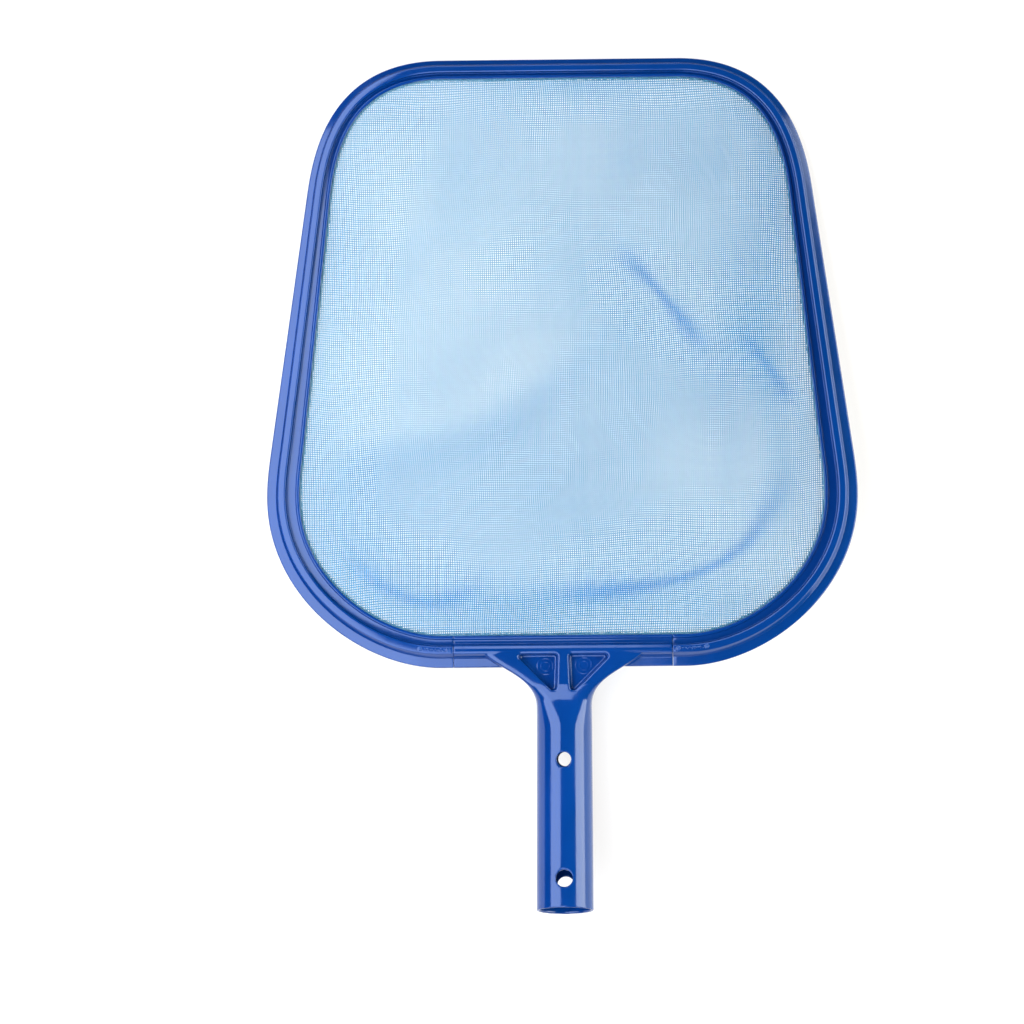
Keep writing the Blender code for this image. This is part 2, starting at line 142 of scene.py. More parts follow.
def half_outline():
    top = HOOP_LENGTH
    su, sv = unit(SIDE_SLOPE, -1.0)
    corner = (TOP_CORNER[0], top - TOP_CORNER[1])
    runs = [
        np.linspace((0.0, top), (TOP_FLAT, top), 60),
        bezier(
            (TOP_FLAT, top),
            (TOP_FLAT + TOP_HANDLES[0], top),
            (corner[0] - su * TOP_HANDLES[1], corner[1] - sv * TOP_HANDLES[1]),
            corner,
            500,
        ),
        np.linspace(corner, SIDE_END, 120),
        bezier(
            SIDE_END,
            (SIDE_END[0] + su * 9.0, SIDE_END[1] + sv * 9.0),
            (WIDEST[0], WIDEST[1] + 8.0),
            WIDEST,
            200,
        ),
        bezier(
            WIDEST,
            (WIDEST[0], WIDEST[1] - BOTTOM_HANDLES[0]),
            (BOTTOM_FLAT + BOTTOM_HANDLES[1], 0.0),
            (BOTTOM_FLAT, 0.0),
            700,
        ),
        np.linspace((BOTTOM_FLAT, 0.0), (0.0, 0.0), 60),
    ]
    points = [runs[0][:1]]
    for run in runs:
        points.append(run[1:])
    pts = np.vstack(points)
    arc = np.concatenate([[0.0], np.cumsum(np.hypot(*np.diff(pts, axis=0).T))])
    marks, n = [0.0], 1
    for run in runs:
        n += len(run) - 1
        marks.append(float(arc[n - 1]))
    return pts, arc, marks


OUTLINE, ARC, MARKS = half_outline()
HALF = MARKS[-1]


def edge_points(s):
    """Outer edge and its inward normal at arc lengths s, which run past the middle of the bar and of the leading edge."""
    s = np.asarray(s, float)
    s = (s + HALF) % (2 * HALF) - HALF

    def place(x):
        x = (x + HALF) % (2 * HALF) - HALF
        a = np.abs(x)
        u = np.interp(a, ARC, OUTLINE[:, 0])
        v = np.interp(a, ARC, OUTLINE[:, 1])
        return np.stack([np.where(x < 0, -u, u), v], axis=-1)

    step = 1.2
    t = place(s + step) - place(s - step)
    t /= np.linalg.norm(t, axis=-1, keepdims=True)
    return place(s), np.stack([t[..., 1], -t[..., 0]], axis=-1)


def section_values(s):
    s = (np.asarray(s, float) + HALF) % (2 * HALF) - HALF
    a = np.abs(s)
    places = (0.0, MARKS[1], MARKS[2], MARKS[3], MARKS[4], MARKS[5], HALF)
    values = np.array(
        (
            SECTION_TOP,
            SECTION_TOP,
            SECTION_CORNER,
            SECTION_SIDE,
            SECTION_WIDE,
            SECTION_BAR,
            SECTION_BAR,
        )
    )
    return np.stack([np.interp(a, places, values[:, i]) for i in range(7)], axis=-1)


# ============================================================ filleted sections
def fillet(corners, steps=5):
    """Points round a closed outline whose corners are (x, y, radius)."""
    out = []
    n = len(corners)
    for i in range(n):
        p0, p1, p2 = (np.array(corners[(i + k) % n][:2], float) for k in (-1, 0, 1))
        radius = corners[i][2]
        if radius <= 0:
            out.append(p1)
            continue
        d0, d1 = p0 - p1, p2 - p1
        l0, l1 = np.linalg.norm(d0), np.linalg.norm(d1)
        d0, d1 = d0 / l0, d1 / l1
        angle = math.acos(max(-1.0, min(1.0, float(d0 @ d1))))
        back = min(radius / math.tan(0.5 * angle), 0.46 * l0, 0.46 * l1)
        r = back * math.tan(0.5 * angle)
        centre = p1 + (d0 + d1) / np.linalg.norm(d0 + d1) * (r / math.sin(0.5 * angle))
        a, b = p1 + d0 * back - centre, p1 + d1 * back - centre
        turn = math.atan2(a[0] * b[1] - a[1] * b[0], float(a @ b))
        for k in range(steps + 1):
            c, q = math.cos(turn * k / steps), math.sin(turn * k / steps)
            out.append(centre + np.array([a[0] * c - a[1] * q, a[0] * q + a[1] * c]))
    return out


def rim_corners(values, roof):
    W, a, b, c, e, H, ch = values
    k = H / FULL_RIDGE
    m = 0.5 * (b + c)
    top = min(roof, CHANNEL_ROOF * k) if roof > BAR_CHANNEL_ROOF else roof
    flange = INNER_FLANGE * k
    if roof == BAR_CHANNEL_ROOF:
        # on the bottom bar the ridge falls away towards the net
        inner = [
            (c - 1.7, H + 0.02, 0.6),
            (c + 0.75, H - 1.05, 0.45),
            (e - 0.05, flange, 0.50),
            (W - LIP_WIDTH - 0.20, flange, 0.30),
        ]
    else:
        inner = [
            (c - 0.30, H + 0.04, 0.45),
            (c + 0.28, H - 0.24, 0.35),
            (c + 0.28 + 0.4 * (e - c - 0.28), flange - 0.22, 0.50),
            (W - LIP_WIDTH - 0.20, flange + 0.10, 0.30),
        ]
    return [
        (0.0, 0.0, 0.35),
        (0.0, FLANGE_EDGE * k - 0.05, 0.75),
        (a - 0.05, FLANGE_FOOT * k, 0.45),
        (b - 0.15, H - 0.24, 0.70),
        *inner,
        (W - LIP_WIDTH + 0.14, LIP_HEIGHT * k, 0.55),
        (W, LIP_HEIGHT * k - 0.04, 0.55),
        (W, FLANGE_BACK, 0.25),
        (m + ch, FLANGE_BACK, 0.20),
        (m + ch, top, 0.15),
        (m - ch, top, 0.15),
        (m - ch, 0.0, 0.25),
    ]


def rim_rings(stations, roof, sink=None):
    p, n = edge_points(stations)
    values = section_values(stations)
    rings = []
    for i in range(len(stations)):
        sec = np.array(fillet(rim_corners(values[i], roof)))
        d, w = sec[:, 0], sec[:, 1]
        if sink is not None:
            w = w + sink(stations[i], d, w)
        rings.append(np.stack([p[i, 0] + n[i, 0] * d, p[i, 1] + n[i, 1] * d, w], axis=-1))
    return rings


# ================================================================ mesh helpers
def object_from(name, points, faces, laid=True):
    """A mesh object from points in the hoop's plane, laid down like the model, or left there in mm."""
    pts = np.asarray(points, float)
    if laid:
        pts = (pts * MM) @ LIE_NP[:3, :3].T + LIE_NP[:3, 3]
    mesh = bpy.data.meshes.new(name)
    mesh.from_pydata(pts.tolist(), [], faces)
    mesh.update()
    ob = bpy.data.objects.new(name, mesh)
    bpy.context.scene.collection.objects.link(ob)
    return ob


def outward(ob):
    bm = bmesh.new()
    bm.from_mesh(ob.data)
    bmesh.ops.recalc_face_normals(bm, faces=bm.faces[:])
    bm.to_mesh(ob.data)
    bm.free()
    return ob


def loft(name, rings, closed=False, capped=True, laid=True):
    n = len(rings[0])
    count = len(rings)
    faces = []
    last = count if closed else count - 1
    for i in range(last):
        a, b = i * n, ((i + 1) % count) * n
        for j in range(n):
            k = (j + 1) % n
            faces.append((a + j, a + k, b + k, b + j))
    if capped and not closed:
        faces.append(tuple(range(n)))
        faces.append(tuple((count - 1) * n + j for j in reversed(range(n))))
    return outward(object_from(name, np.vstack(rings), faces, laid))


def evaluated(ob, name):
    """A new object with the mesh of ob as its modifiers leave it."""
    bpy.context.view_layer.update()
    graph = bpy.context.evaluated_depsgraph_get()
    mesh = bpy.data.meshes.new_from_object(ob.evaluated_get(graph))
    mesh.name = name
    new = bpy.data.objects.new(name, mesh)
    new.matrix_world = ob.matrix_world
    bpy.context.scene.collection.objects.link(new)
    return new


def drop(*obs):
    for ob in obs:
        data = ob.data
        bpy.data.objects.remove(ob, do_unlink=True)
        if data is not None and data.users == 0:
            bpy.data.meshes.remove(data)


def combine(ob, tool, operation):
    mod = ob.modifiers.new(operation.lower(), "BOOLEAN")
    mod.operation = operation
    mod.solver = "EXACT"
    mod.object = tool
    tool.hide_render = True


def lay(ob):
    """Lays a mesh made in mm in the hoop's plane down like the model."""
    ob.data.transform(LIE @ Matrix.Scale(MM, 4))
    ob.data.update()
    return ob


def smooth(ob, angle=32.0):
    ob.data.shade_smooth()
    if angle is not None:
        ob.data.set_sharp_from_angle(angle=math.radians(angle))


# =================================================================== materials
class Nodes:
    """A short way to write a node tree."""

    def __init__(self, name):
        self.mat = bpy.data.materials.new(name)
        self.mat.use_nodes = True
        self.tree = self.mat.node_tree
        self.shader = self.tree.nodes["Principled BSDF"]
        self.coord = self.add("ShaderNodeTexCoord")

    def add(self, kind, **values):
        node = self.tree.nodes.new(kind)
        for key, value in values.items():
            setattr(node, key, value)
        return node

    def link(self, a, b):
        self.tree.links.new(a, b)

    def mapped(self, scale=(1, 1, 1), turn=(0, 0, 0)):
        node = self.add("ShaderNodeMapping")
        node.inputs["Scale"].default_value = scale
        node.inputs["Rotation"].default_value = turn
        self.link(self.coord.outputs["Object"], node.inputs["Vector"])
        return node.outputs["Vector"]

    def noise(self, scale, detail=2.0, rough=0.5, vector=None, distortion=0.0):
        node = self.add("ShaderNodeTexNoise")
        node.inputs["Scale"].default_value = scale
        node.inputs["Detail"].default_value = detail
        node.inputs["Roughness"].default_value = rough
        node.inputs["Distortion"].default_value = distortion
        self.link(vector or self.coord.outputs["Object"], node.inputs["Vector"])
        return node.outputs["Fac"]

    def ramp(self, fac, stops):
        node = self.add("ShaderNodeValToRGB")
        els = node.color_ramp.elements
        while len(els) < len(stops):
            els.new(0.5)
        for el, (place, colour) in zip(els, stops):
            el.position = place
            el.color = colour if len(colour) == 4 else (*colour, 1.0)
        self.link(fac, node.inputs["Fac"])
        return node.outputs["Color"]

    def span(self, fac, lo, hi, from_lo=0.0, from_hi=1.0):
        node = self.add("ShaderNodeMapRange")
        node.inputs["From Min"].default_value = from_lo
        node.inputs["From Max"].default_value = from_hi
        node.inputs["To Min"].default_value = lo
        node.inputs["To Max"].default_value = hi
        self.link(fac, node.inputs["Value"])
        return node.outputs["Result"]

    def maths(self, operation, a, b):
        node = self.add("ShaderNodeMath", operation=operation)
        for i, x in enumerate((a, b)):
            if isinstance(x, (int, float)):
                node.inputs[i].default_value = x
            else:
                self.link(x, node.inputs[i])
        return node.outputs[0]

    def mix(self, fac, a, b, blend="MIX"):
        node = self.add("ShaderNodeMix", data_type="RGBA", blend_type=blend)
        for key, x in (("Factor", fac), ("A", a), ("B", b)):
            socket = [s for s in node.inputs if s.name == key and s.enabled][0]
            if isinstance(x, (int, float)):
                socket.default_value = x
            elif isinstance(x, tuple):
                socket.default_value = x if len(x) == 4 else (*x, 1.0)
            else:
                self.link(x, socket)
        return [s for s in node.outputs if s.name == "Result" and s.enabled][0]

    def bump(self, height, strength, distance, onto=None):
        node = self.add("ShaderNodeBump")
        node.inputs["Strength"].default_value = strength
        node.inputs["Distance"].default_value = distance
        self.link(height, node.inputs["Height"])
        if onto is not None:
            self.link(onto, node.inputs["Normal"])
        return node.outputs["Normal"]

    def attribute(self, name):
        return self.add("ShaderNodeAttribute", attribute_name=name).outputs["Fac"]

    def set(self, **sockets):
        names = {
            "base": "Base Color",
            "rough": "Roughness",
            "normal": "Normal",
            "ior": "IOR",
            "coat": "Coat Weight",
            "coat_rough": "Coat Roughness",
            "spec": "Specular IOR Level",
            "tint": "Specular Tint",
            "sheen": "Sheen Weight",
        }
        for key, x in sockets.items():
            socket = self.shader.inputs[names[key]]
            if isinstance(x, (int, float, tuple)):
                socket.default_value = x
            else:
                self.link(x, socket)
        return self.mat


def moulded_plastic(name, light, dark, rough=0.125):
    """Glossy blue polypropylene: slow colour drift, faint flow marks, a very fine skin and a few handling scuffs."""
    n = Nodes(name)
    drift = n.noise(22.0, 3.0, 0.55)
    flow = n.noise(60.0, 4.0, 0.6, n.mapped((1.0, 0.35, 1.0), (0, 0, 0.6)), 0.8)
    tone = n.maths("ADD", n.maths("MULTIPLY", drift, 0.7), n.maths("MULTIPLY", flow, 0.3))
    base = n.ramp(tone, [(0.36, dark), (0.64, light)])
    scuff = n.noise(420.0, 2.0, 0.5, n.mapped((1.0, 0.06, 0.3), (0.0, 0.0, 0.9)))
    scuffed = n.span(scuff, 0.0, 1.0, 0.66, 0.76)
    cloudy = n.noise(45.0, 3.0, 0.6)
    r = n.maths(
        "ADD",
        n.span(cloudy, rough - 0.035, rough + 0.045, 0.3, 0.7),
        n.maths("MULTIPLY", scuffed, 0.10),
    )
    skin = n.noise(1500.0, 2.0, 0.5)
    waves = n.noise(75.0, 1.0, 0.4)
    soft = n.bump(waves, 0.30, 0.00022)
    normal = n.bump(skin, 0.10, 0.00004, soft)
    return n.set(base=base, rough=r, normal=normal, ior=1.49, spec=0.72, tint=(0.62, 0.75, 1.0, 1.0))


def thread_material():
    """Blue nylon monofilament, each thread a little different, with painted light and shade over the net and painted
    shade, darker and deeper blue, in the creases where the net is laid on itself.
    """
    n = Nodes("net_thread")
    folded = n.attribute("fold")
    painted_light_shade = n.attribute("painted_light_shade")
    each = n.attribute("thread")
    drift = n.noise(18.0, 3.0, 0.55)
    tone = n.maths("ADD", n.maths("MULTIPLY", each, 0.45), n.maths("MULTIPLY", drift, 0.55))
    base = n.ramp(tone, [(0.25, (0.005, 0.212, 0.425)), (0.75, (0.022, 0.246, 0.462))])
    # painted light and shade: the threads are mixed towards a lighter blue by this attribute
    base = n.mix(painted_light_shade, base, (0.232, 0.410, 0.538))
    # painted shade in the creases: the threads' colour is darkened towards deep blue where the net is creased; the
    # threads are also really widened there
    base = n.mix(n.maths("MULTIPLY", folded, 0.62), base, (0.002, 0.165, 0.480))
    fine = n.noise(2600.0, 1.0, 0.5)
    r = n.span(fine, 0.30, 0.46, 0.3, 0.7)
    return n.set(base=base, rough=r, normal=n.bump(fine, 0.3, 0.00004), ior=1.53, spec=0.4)


def hem_material():
    """The net's fused edge: the same nylon melted flat, greener and glossier, with the weave still showing in it."""
    n = Nodes("fused_hem")
    cells = n.add("ShaderNodeTexVoronoi")
    cells.inputs["Scale"].default_value = 900.0
    n.link(n.coord.outputs["Object"], cells.inputs["Vector"])
    drift = n.noise(120.0, 3.0, 0.6)
    base = n.ramp(drift, [(0.3, (0.010, 0.190, 0.350)), (0.5, (0.09, 0.31, 0.44)), (0.72, (0.27, 0.45, 0.54))])
    base = n.mix(n.span(cells.outputs["Distance"], 0.0, 0.5, 0.2, 0.9), base, (0.30, 0.45, 0.52))
    r = n.span(drift, 0.25, 0.50, 0.3, 0.7)
    return n.set(base=base, rough=r, normal=n.bump(cells.outputs["Distance"], 0.5, 0.00015), ior=1.5)


def spline_material():
    """A soft blue PVC strip with a fine grain and a slightly chalky skin."""
    n = Nodes("spline_strip")
    drift = n.noise(40.0, 3.0, 0.6)
    base = n.ramp(drift, [(0.35, (0.006, 0.075, 0.30)), (0.65, (0.014, 0.115, 0.38))])
    grain = n.noise(1200.0, 2.0, 0.6)
    r = n.span(grain, 0.42, 0.60, 0.3, 0.7)
    return n.set(base=base, rough=r, normal=n.bump(grain, 0.4, 0.00008), ior=1.5)


def weld_material():
    """Re-melted polypropylene: a shade lighter, dull and lumpy."""
    n = Nodes("melted_plastic")
    drift = n.noise(700.0, 3.0, 0.6)
    base = n.ramp(drift, [(0.35, (0.002, 0.040, 0.20)), (0.7, (0.020, 0.085, 0.29))])
    r = n.span(drift, 0.22, 0.42, 0.3, 0.7)
    return n.set(base=base, rough=r, normal=n.bump(drift, 0.5, 0.00015), ior=1.49)


BLUE_LIGHT = (0.0006, 0.0350, 0.190)
BLUE_DARK = (0.0004, 0.0295, 0.160)
frame_plastic = moulded_plastic("frame_plastic", BLUE_LIGHT, BLUE_DARK)
handle_plastic = moulded_plastic("handle_plastic", BLUE_LIGHT, BLUE_DARK, 0.12)


# ==================================================================== the hoop
HOOP_END = HALF - SEAM + 0.08


def hoop_stations():
    end = HOOP_END
    body = np.linspace(-end + 0.5, end - 0.5, 640)
    return np.concatenate([[-end, -end + 0.12, -end + 0.27], body, [end - 0.27, end - 0.12, end]])


def hoop_end(s, d, w):
    """The hoop's two ends are very slightly rounded off, so the seams show as fine grooves."""
    near = HOOP_END - abs(s)
    if near > 0.5:
        return 0.0
    drop_by = 0.26 * (1 - near / 0.5) ** 2
    return np.where(w > 2.6, -drop_by, 0.0)


def warp(ob, amount=0.035, scale=26.0, seed=3.0):
    """Moulded walls are never quite true: the surface wanders by a few hundredths of a millimetre."""
    mesh = ob.data
    co = np.zeros(len(mesh.vertices) * 3, np.float32)
    mesh.vertices.foreach_get("co", co)
    nr = np.zeros(len(mesh.vertices) * 3, np.float32)
    mesh.vertex_normals.foreach_get("vector", nr)
    co, nr = co.reshape(-1, 3), nr.reshape(-1, 3)
    k = 1.0 / (scale * MM)
    lift = np.array(
        [noise.noise(Vector((p[0] * k + seed, p[1] * k * 0.6 - seed, p[2] * k))) for p in co],
        np.float32,
    )
    co += nr * (lift * amount * MM)[:, None]
    mesh.vertices.foreach_set("co", co.ravel())
    mesh.update()


hoop = loft("hoop_moulding", rim_rings(hoop_stations(), CHANNEL_ROOF, hoop_end))
warp(hoop, 0.03)
smooth(hoop, 38.0)
hoop.data.materials.append(frame_plastic)


# =========================================================== the yoke and socket
def yoke_edge(count):
    run = 1.0 / math.hypot(1.0, YOKE_SLOPE)
    return bezier(
        YOKE_TIP,
        (YOKE_TIP[0] - YOKE_HANDLES[0] * run, YOKE_TIP[1] - YOKE_HANDLES[0] * run * YOKE_SLOPE),
        (ROOT_V + YOKE_HANDLES[1], ROOT_RADIUS),
        (ROOT_V, ROOT_RADIUS),
        count,
    )


YOKE_EDGE = yoke_edge(61)


def yoke_section(v, half, count=96):
    front = YOKE_TOP + (CROWN - YOKE_TOP) * ease(-v, 8.0, 20.0)
    axis_w = CROWN - ROOT_RADIUS
    mid = 4.0 + (axis_w - 4.0) * ease(-v, 6.0, 20.0)
    plate_back = 0.6 + (0.9 - 0.6) * ease(-v, -4.0, 4.0)
    back = 0.75 + (axis_w - ROOT_RADIUS - 0.75) * ease(-v, -6.0, 20.0)
    if v < 0:
        bulge_half = 9.0 + (half - 9.0) * ease(-v, 0.0, 18.0)
    else:
        bulge_half = 6.0 + 3.0 * ease(-v, -7.0, 0.0)
    low_n, high_n = 6.0 + (2.0 - 6.0) * ease(-v, 9.0, 20.0), roundness(v)
    tilt = SOCKET_TILT * ease(-v, 2.0, 20.0)
    ring = []
    for i in range(count):
        a = 2 * math.pi * i / count
        ca, sa = math.cos(a), math.sin(a)
        n = high_n if sa >= 0 else low_n
        x = half * math.copysign(abs(ca) ** (2 / n), ca)
        if sa >= 0:
            h = (front - mid) * abs(sa) ** (2 / n)
        else:
            plate = (mid - plate_back) * abs(sa) ** (2 / n) if mid > plate_back else 0.0
            inside = max(0.0, 1 - (x / bulge_half) ** 2)
            bulge = max(mid - back, 0.0) * math.sqrt(inside)
            fade = 1.0 - ease(-v, 8.0, 19.0)
            h = -((fade * plate**4 + bulge**4) ** 0.25)
        ring.append((x, v + h * math.sin(tilt), mid + h * math.cos(tilt)))
    return crown(np.array(ring), v, mid)


def roundness(v):
    """Exponent of the front half of a section: squarish at the yoke, round some way down the socket."""
    return 6.0 + (2.0 - 6.0) * ease(-v, 3.0, 31.0)


def crown(ring, v, middle):
    """Brings a section's front to the smooth line that runs from the yoke's face into the socket."""
    x = -v - 9.0
    if x <= 0.0 or x >= 30.0:
        return ring
    falling = YOKE_TOP - 0.27 * x
    rising = CROWN + (-v + ROOT_V) * math.tan(SOCKET_TILT)
    soft = 0.85 * ease(x, 0.0, 6.0) * (1.0 - ease(x, 14.0, 30.0))
    line = 0.5 * (falling + rising) + math.sqrt((0.5 * (falling - rising)) ** 2 + soft**2)
    ring = ring.copy()
    high = ring[:, 2] > middle
    ring[high, 2] = middle + (ring[high, 2] - middle) * (line - middle) / (ring[:, 2].max() - middle)
    return ring


def socket_point(along):
    return (
        0.0,
        ROOT_V - along * math.cos(SOCKET_TILT),
        CROWN - ROOT_RADIUS + along * math.sin(SOCKET_TILT),
    )


def socket_ring(along, radius, count=96):
    c = socket_point(along)
    a = 2 * math.pi * np.arange(count) / count
    n = np.where(np.sin(a) >= 0, roundness(c[1]), 2.0)
    x = radius * np.copysign(np.abs(np.cos(a)) ** (2 / n), np.cos(a))
    h = radius * np.copysign(np.abs(np.sin(a)) ** (2 / n), np.sin(a))
    ring = np.stack([x, c[1] + h * math.sin(SOCKET_TILT), c[2] + h * math.cos(SOCKET_TILT)], axis=-1)
    return crown(ring, c[1], c[2])


def cone(name, radius, radius2, depth, at, axis, sides=72):
    bm = bmesh.new()
    bmesh.ops.create_cone(
        bm,
        cap_ends=True,
        segments=sides,
        radius1=radius,
        radius2=radius2,
        depth=depth,
        matrix=Matrix.Translation((0, 0, 0.5 * depth)),
    )
    mesh = bpy.data.meshes.new(name)
    bm.to_mesh(mesh)
    bm.free()
    turn = Vector(axis).to_track_quat("Z", "Y").to_matrix().to_4x4()
    phase = Matrix.Rotation(0.0171, 4, "Z")  # keeps its edges off the edges it cuts
    mesh.transform(Matrix.Translation(at) @ turn @ phase)
    ob = bpy.data.objects.new(name, mesh)
    bpy.context.scene.collection.objects.link(ob)
    return ob


def rounded_polygon(corners, radius, per_corner=8):
    return fillet([(x, y, radius) for x, y in corners], per_corner)


def shrunk(corners, by):
    n = len(corners)
    area = sum(
        corners[i][0] * corners[(i + 1) % n][1] - corners[(i + 1) % n][0] * corners[i][1]
        for i in range(n)
    )
    turn = 1.0 if area > 0 else -1.0
    lines = []
    for i in range(n):
        p, q = np.array(corners[i], float), np.array(corners[(i + 1) % n], float)
        t = (q - p) / np.linalg.norm(q - p)
        lines.append((p + np.array([-t[1], t[0]]) * turn * by, t))
    out = []
    for i in range(n):
        (p, t), (q, r) = lines[i - 1], lines[i]
        k = np.linalg.solve(np.array([[t[0], -r[0]], [t[1], -r[1]]]), q - p)
        out.append(tuple(p + t * k[0]))
    return out


def pocket_tool(side):
    """A drafted three-sided pocket with a rolled mouth and a coved floor."""
    rings = []
    steps = (
        (1.45, POCKET_FLOOR, 0.7),
        (1.05, POCKET_FLOOR + 0.12, 0.9),
        (0.80, POCKET_FLOOR + 0.50, 1.1),
        (0.45, YOKE_TOP - 1.1, 1.3),
        (0.20, YOKE_TOP - 0.45, 1.45),
        (-0.15, YOKE_TOP - 0.05, 1.7),
        (-0.60, YOKE_TOP + 0.5, 2.0),
    )
    for inset, w, rnd in steps:
        corners = shrunk(POCKET, inset)
        rings.append(np.array([(side * x, y, w) for x, y in rounded_polygon(corners, rnd)]))
    return loft(f"pocket_{side}", rings, laid=False)


def ring_mark(name, at, radius, wire):
    """A plain raised ring, as an ejector leaves on a moulding."""
    bm = bmesh.new()
    rows = []
    for i in range(48):
        a = 2 * math.pi * i / 48
        row = []
        for j in range(10):
            b = 2 * math.pi * j / 10
            r = radius + wire * math.cos(b)
            row.append(
                bm.verts.new(
                    (
                        at[0] + r * math.cos(a),
                        at[1] + r * math.sin(a),
                        at[2] + wire * 0.8 * math.sin(b),
                    )
                )
            )
        rows.append(row)
    for i in range(48):
        for j in range(10):
            k, m = (i + 1) % 48, (j + 1) % 10
            bm.faces.new((rows[i][j], rows[k][j], rows[k][m], rows[i][m]))
    bmesh.ops.recalc_face_normals(bm, faces=bm.faces[:])
    mesh = bpy.data.meshes.new(name)
    bm.to_mesh(mesh)
    bm.free()
    ob = bpy.data.objects.new(name, mesh)
    bpy.context.scene.collection.objects.link(ob)
    return ob


def make_handle():
    tools = []
    rings = [yoke_section(v, half) for v, half in YOKE_EDGE[:-1]]
    for along in np.linspace(0.0, SOCKET_LENGTH - 0.5, 44):
        rings.append(socket_ring(along, ROOT_RADIUS + (END_RADIUS - ROOT_RADIUS) * along / SOCKET_LENGTH))
    rings.append(socket_ring(SOCKET_LENGTH - 0.15, END_RADIUS - 0.12))
    rings.append(socket_ring(SOCKET_LENGTH, END_RADIUS - 0.45))
    raw = loft("handle_raw", rings, laid=False)

    end = SEAM - 0.5 * GAP
    inner = np.linspace(-end + 0.4, end - 0.4, 80)
    across = np.concatenate([[-end], inner, [end]])
    bar = loft("bar", rim_rings(HALF + across, BAR_CHANNEL_ROOF), laid=False)
    combine(raw, bar, "UNION")
    tools.append(bar)
    for side in (-1, 1):
        s = side * (HALF - SEAM + 6.0 - (TONGUE_LENGTH + 6.0) * np.linspace(0, 1, 14))
        p, n = edge_points(s)
        values = section_values(s)
        ring_list = []
        for i in range(len(s)):
            m, ch = 0.5 * (values[i, 2] + values[i, 3]), values[i, 6]
            lo, hi = BAR_CHANNEL_ROOF + 0.05, CHANNEL_ROOF - GAP
            sec = np.array(
                fillet(
                    [
                        (m - ch + GAP, lo, 0.15),
                        (m - ch + GAP, hi, 0.15),
                        (m + ch - GAP, hi, 0.15),
                        (m + ch - GAP, lo, 0.15),
                    ],
                    2,
                )
            )
            ring_list.append(
                np.stack(
                    [p[i, 0] + n[i, 0] * sec[:, 0], p[i, 1] + n[i, 1] * sec[:, 0], sec[:, 1]],
                    axis=-1,
                )
            )
        tongue = loft(f"tongue_{side}", ring_list, laid=False)
        combine(raw, tongue, "UNION")
        tools.append(tongue)

    axis_in = (0.0, math.cos(SOCKET_TILT), -math.sin(SOCKET_TILT))
    bore = cone(
        "bore", BORE_RADIUS, BORE_END_RADIUS, BORE_DEPTH + 2.0, socket_point(SOCKET_LENGTH + 2.0), axis_in, 96
    )
    mouth = cone("mouth", 13.5, 12.3, 1.2, socket_point(SOCKET_LENGTH + 0.45), axis_in, 96)
    upper = cone("upper", UPPER_HOLE_RADIUS, UPPER_HOLE_RADIUS, 60.0, (0.0, UPPER_HOLE_V, -35.0), (0, 0, 1))
    top_of_upper = CROWN + (-UPPER_HOLE_V + ROOT_V) * math.tan(SOCKET_TILT)
    upper_rim = cone(
        "upper_rim", UPPER_HOLE_RADIUS - 0.1, UPPER_HOLE_RADIUS + 1.1, 1.2, (0.0, UPPER_HOLE_V, top_of_upper - 0.5), (0, 0, 1)
    )
    across_axis = (0.0, math.sin(SOCKET_TILT), math.cos(SOCKET_TILT))
    along = (-LOWER_HOLE_V + ROOT_V + END_RADIUS * math.sin(SOCKET_TILT)) / math.cos(SOCKET_TILT)
    c = socket_point(along)
    lower = cone(
        "lower",
        LOWER_HOLE_RADIUS,
        LOWER_HOLE_RADIUS,
        60.0,
        (0.0, c[1] - 30.0 * across_axis[1], c[2] - 30.0 * across_axis[2]),
        across_axis,
    )
    lower_rim = cone(
        "lower_rim",
        LOWER_HOLE_RADIUS - 0.1,
        LOWER_HOLE_RADIUS + 1.5,
        1.6,
        (0.0, c[1] + 13.15 * across_axis[1], c[2] + 13.15 * across_axis[2]),
        across_axis,
    )
    for tool in (bore, mouth, upper, upper_rim, lower, lower_rim, pocket_tool(-1), pocket_tool(1)):
        combine(raw, tool, "DIFFERENCE")
        tools.append(tool)
    for side, u in ((-1, -8.6), (1, 10.2)):
        for k, (radius, wire) in enumerate(((3.9, 0.22), (2.2, 0.20))):
            mark = ring_mark(f"ring_{side}_{k}", (u, 0.6 if side < 0 else 0.9, POCKET_FLOOR + 0.02), radius, wire)
            combine(raw, mark, "UNION")
            tools.append(mark)

    solid = evaluated(raw, "handle_solid")
    drop(raw, *tools)
    remesh = solid.modifiers.new("remesh", "REMESH")
    remesh.mode = "VOXEL"
    remesh.voxel_size = 0.42
    remesh.adaptivity = 0.0
    soft = solid.modifiers.new("soften", "SMOOTH")
    soft.factor = 0.5
    soft.iterations = 3
    fewer = solid.modifiers.new("fewer", "DECIMATE")
    fewer.ratio = 0.43
    done = evaluated(solid, "handle_moulding")
    drop(solid)
    return lay(done)


handle = make_handle()
warp(handle, 0.075, 30.0, 11.0)
smooth(handle, None)
handle.data.materials.append(handle_plastic)


# =========================================================== melted stake heads
def blob(bm, at, rx, ry, rz, turn, seed, level=3):
    made = bmesh.ops.create_icosphere(bm, subdivisions=level, radius=1.0)
    c, q = math.cos(turn), math.sin(turn)
    for vert in made["verts"]:
        p = vert.co.copy()
        k = 1.0 + 0.22 * noise.noise(p * 2.1 + Vector((seed, -seed, 0.5 * seed)))
        x, y, z = p.x * rx * k, p.y * ry * k, p.z * rz * k
        vert.co = Vector(
            (
                at[0] + x * c - y * q,
                at[1] + x * q + y * c,
                at[2] + z,
            )
        )


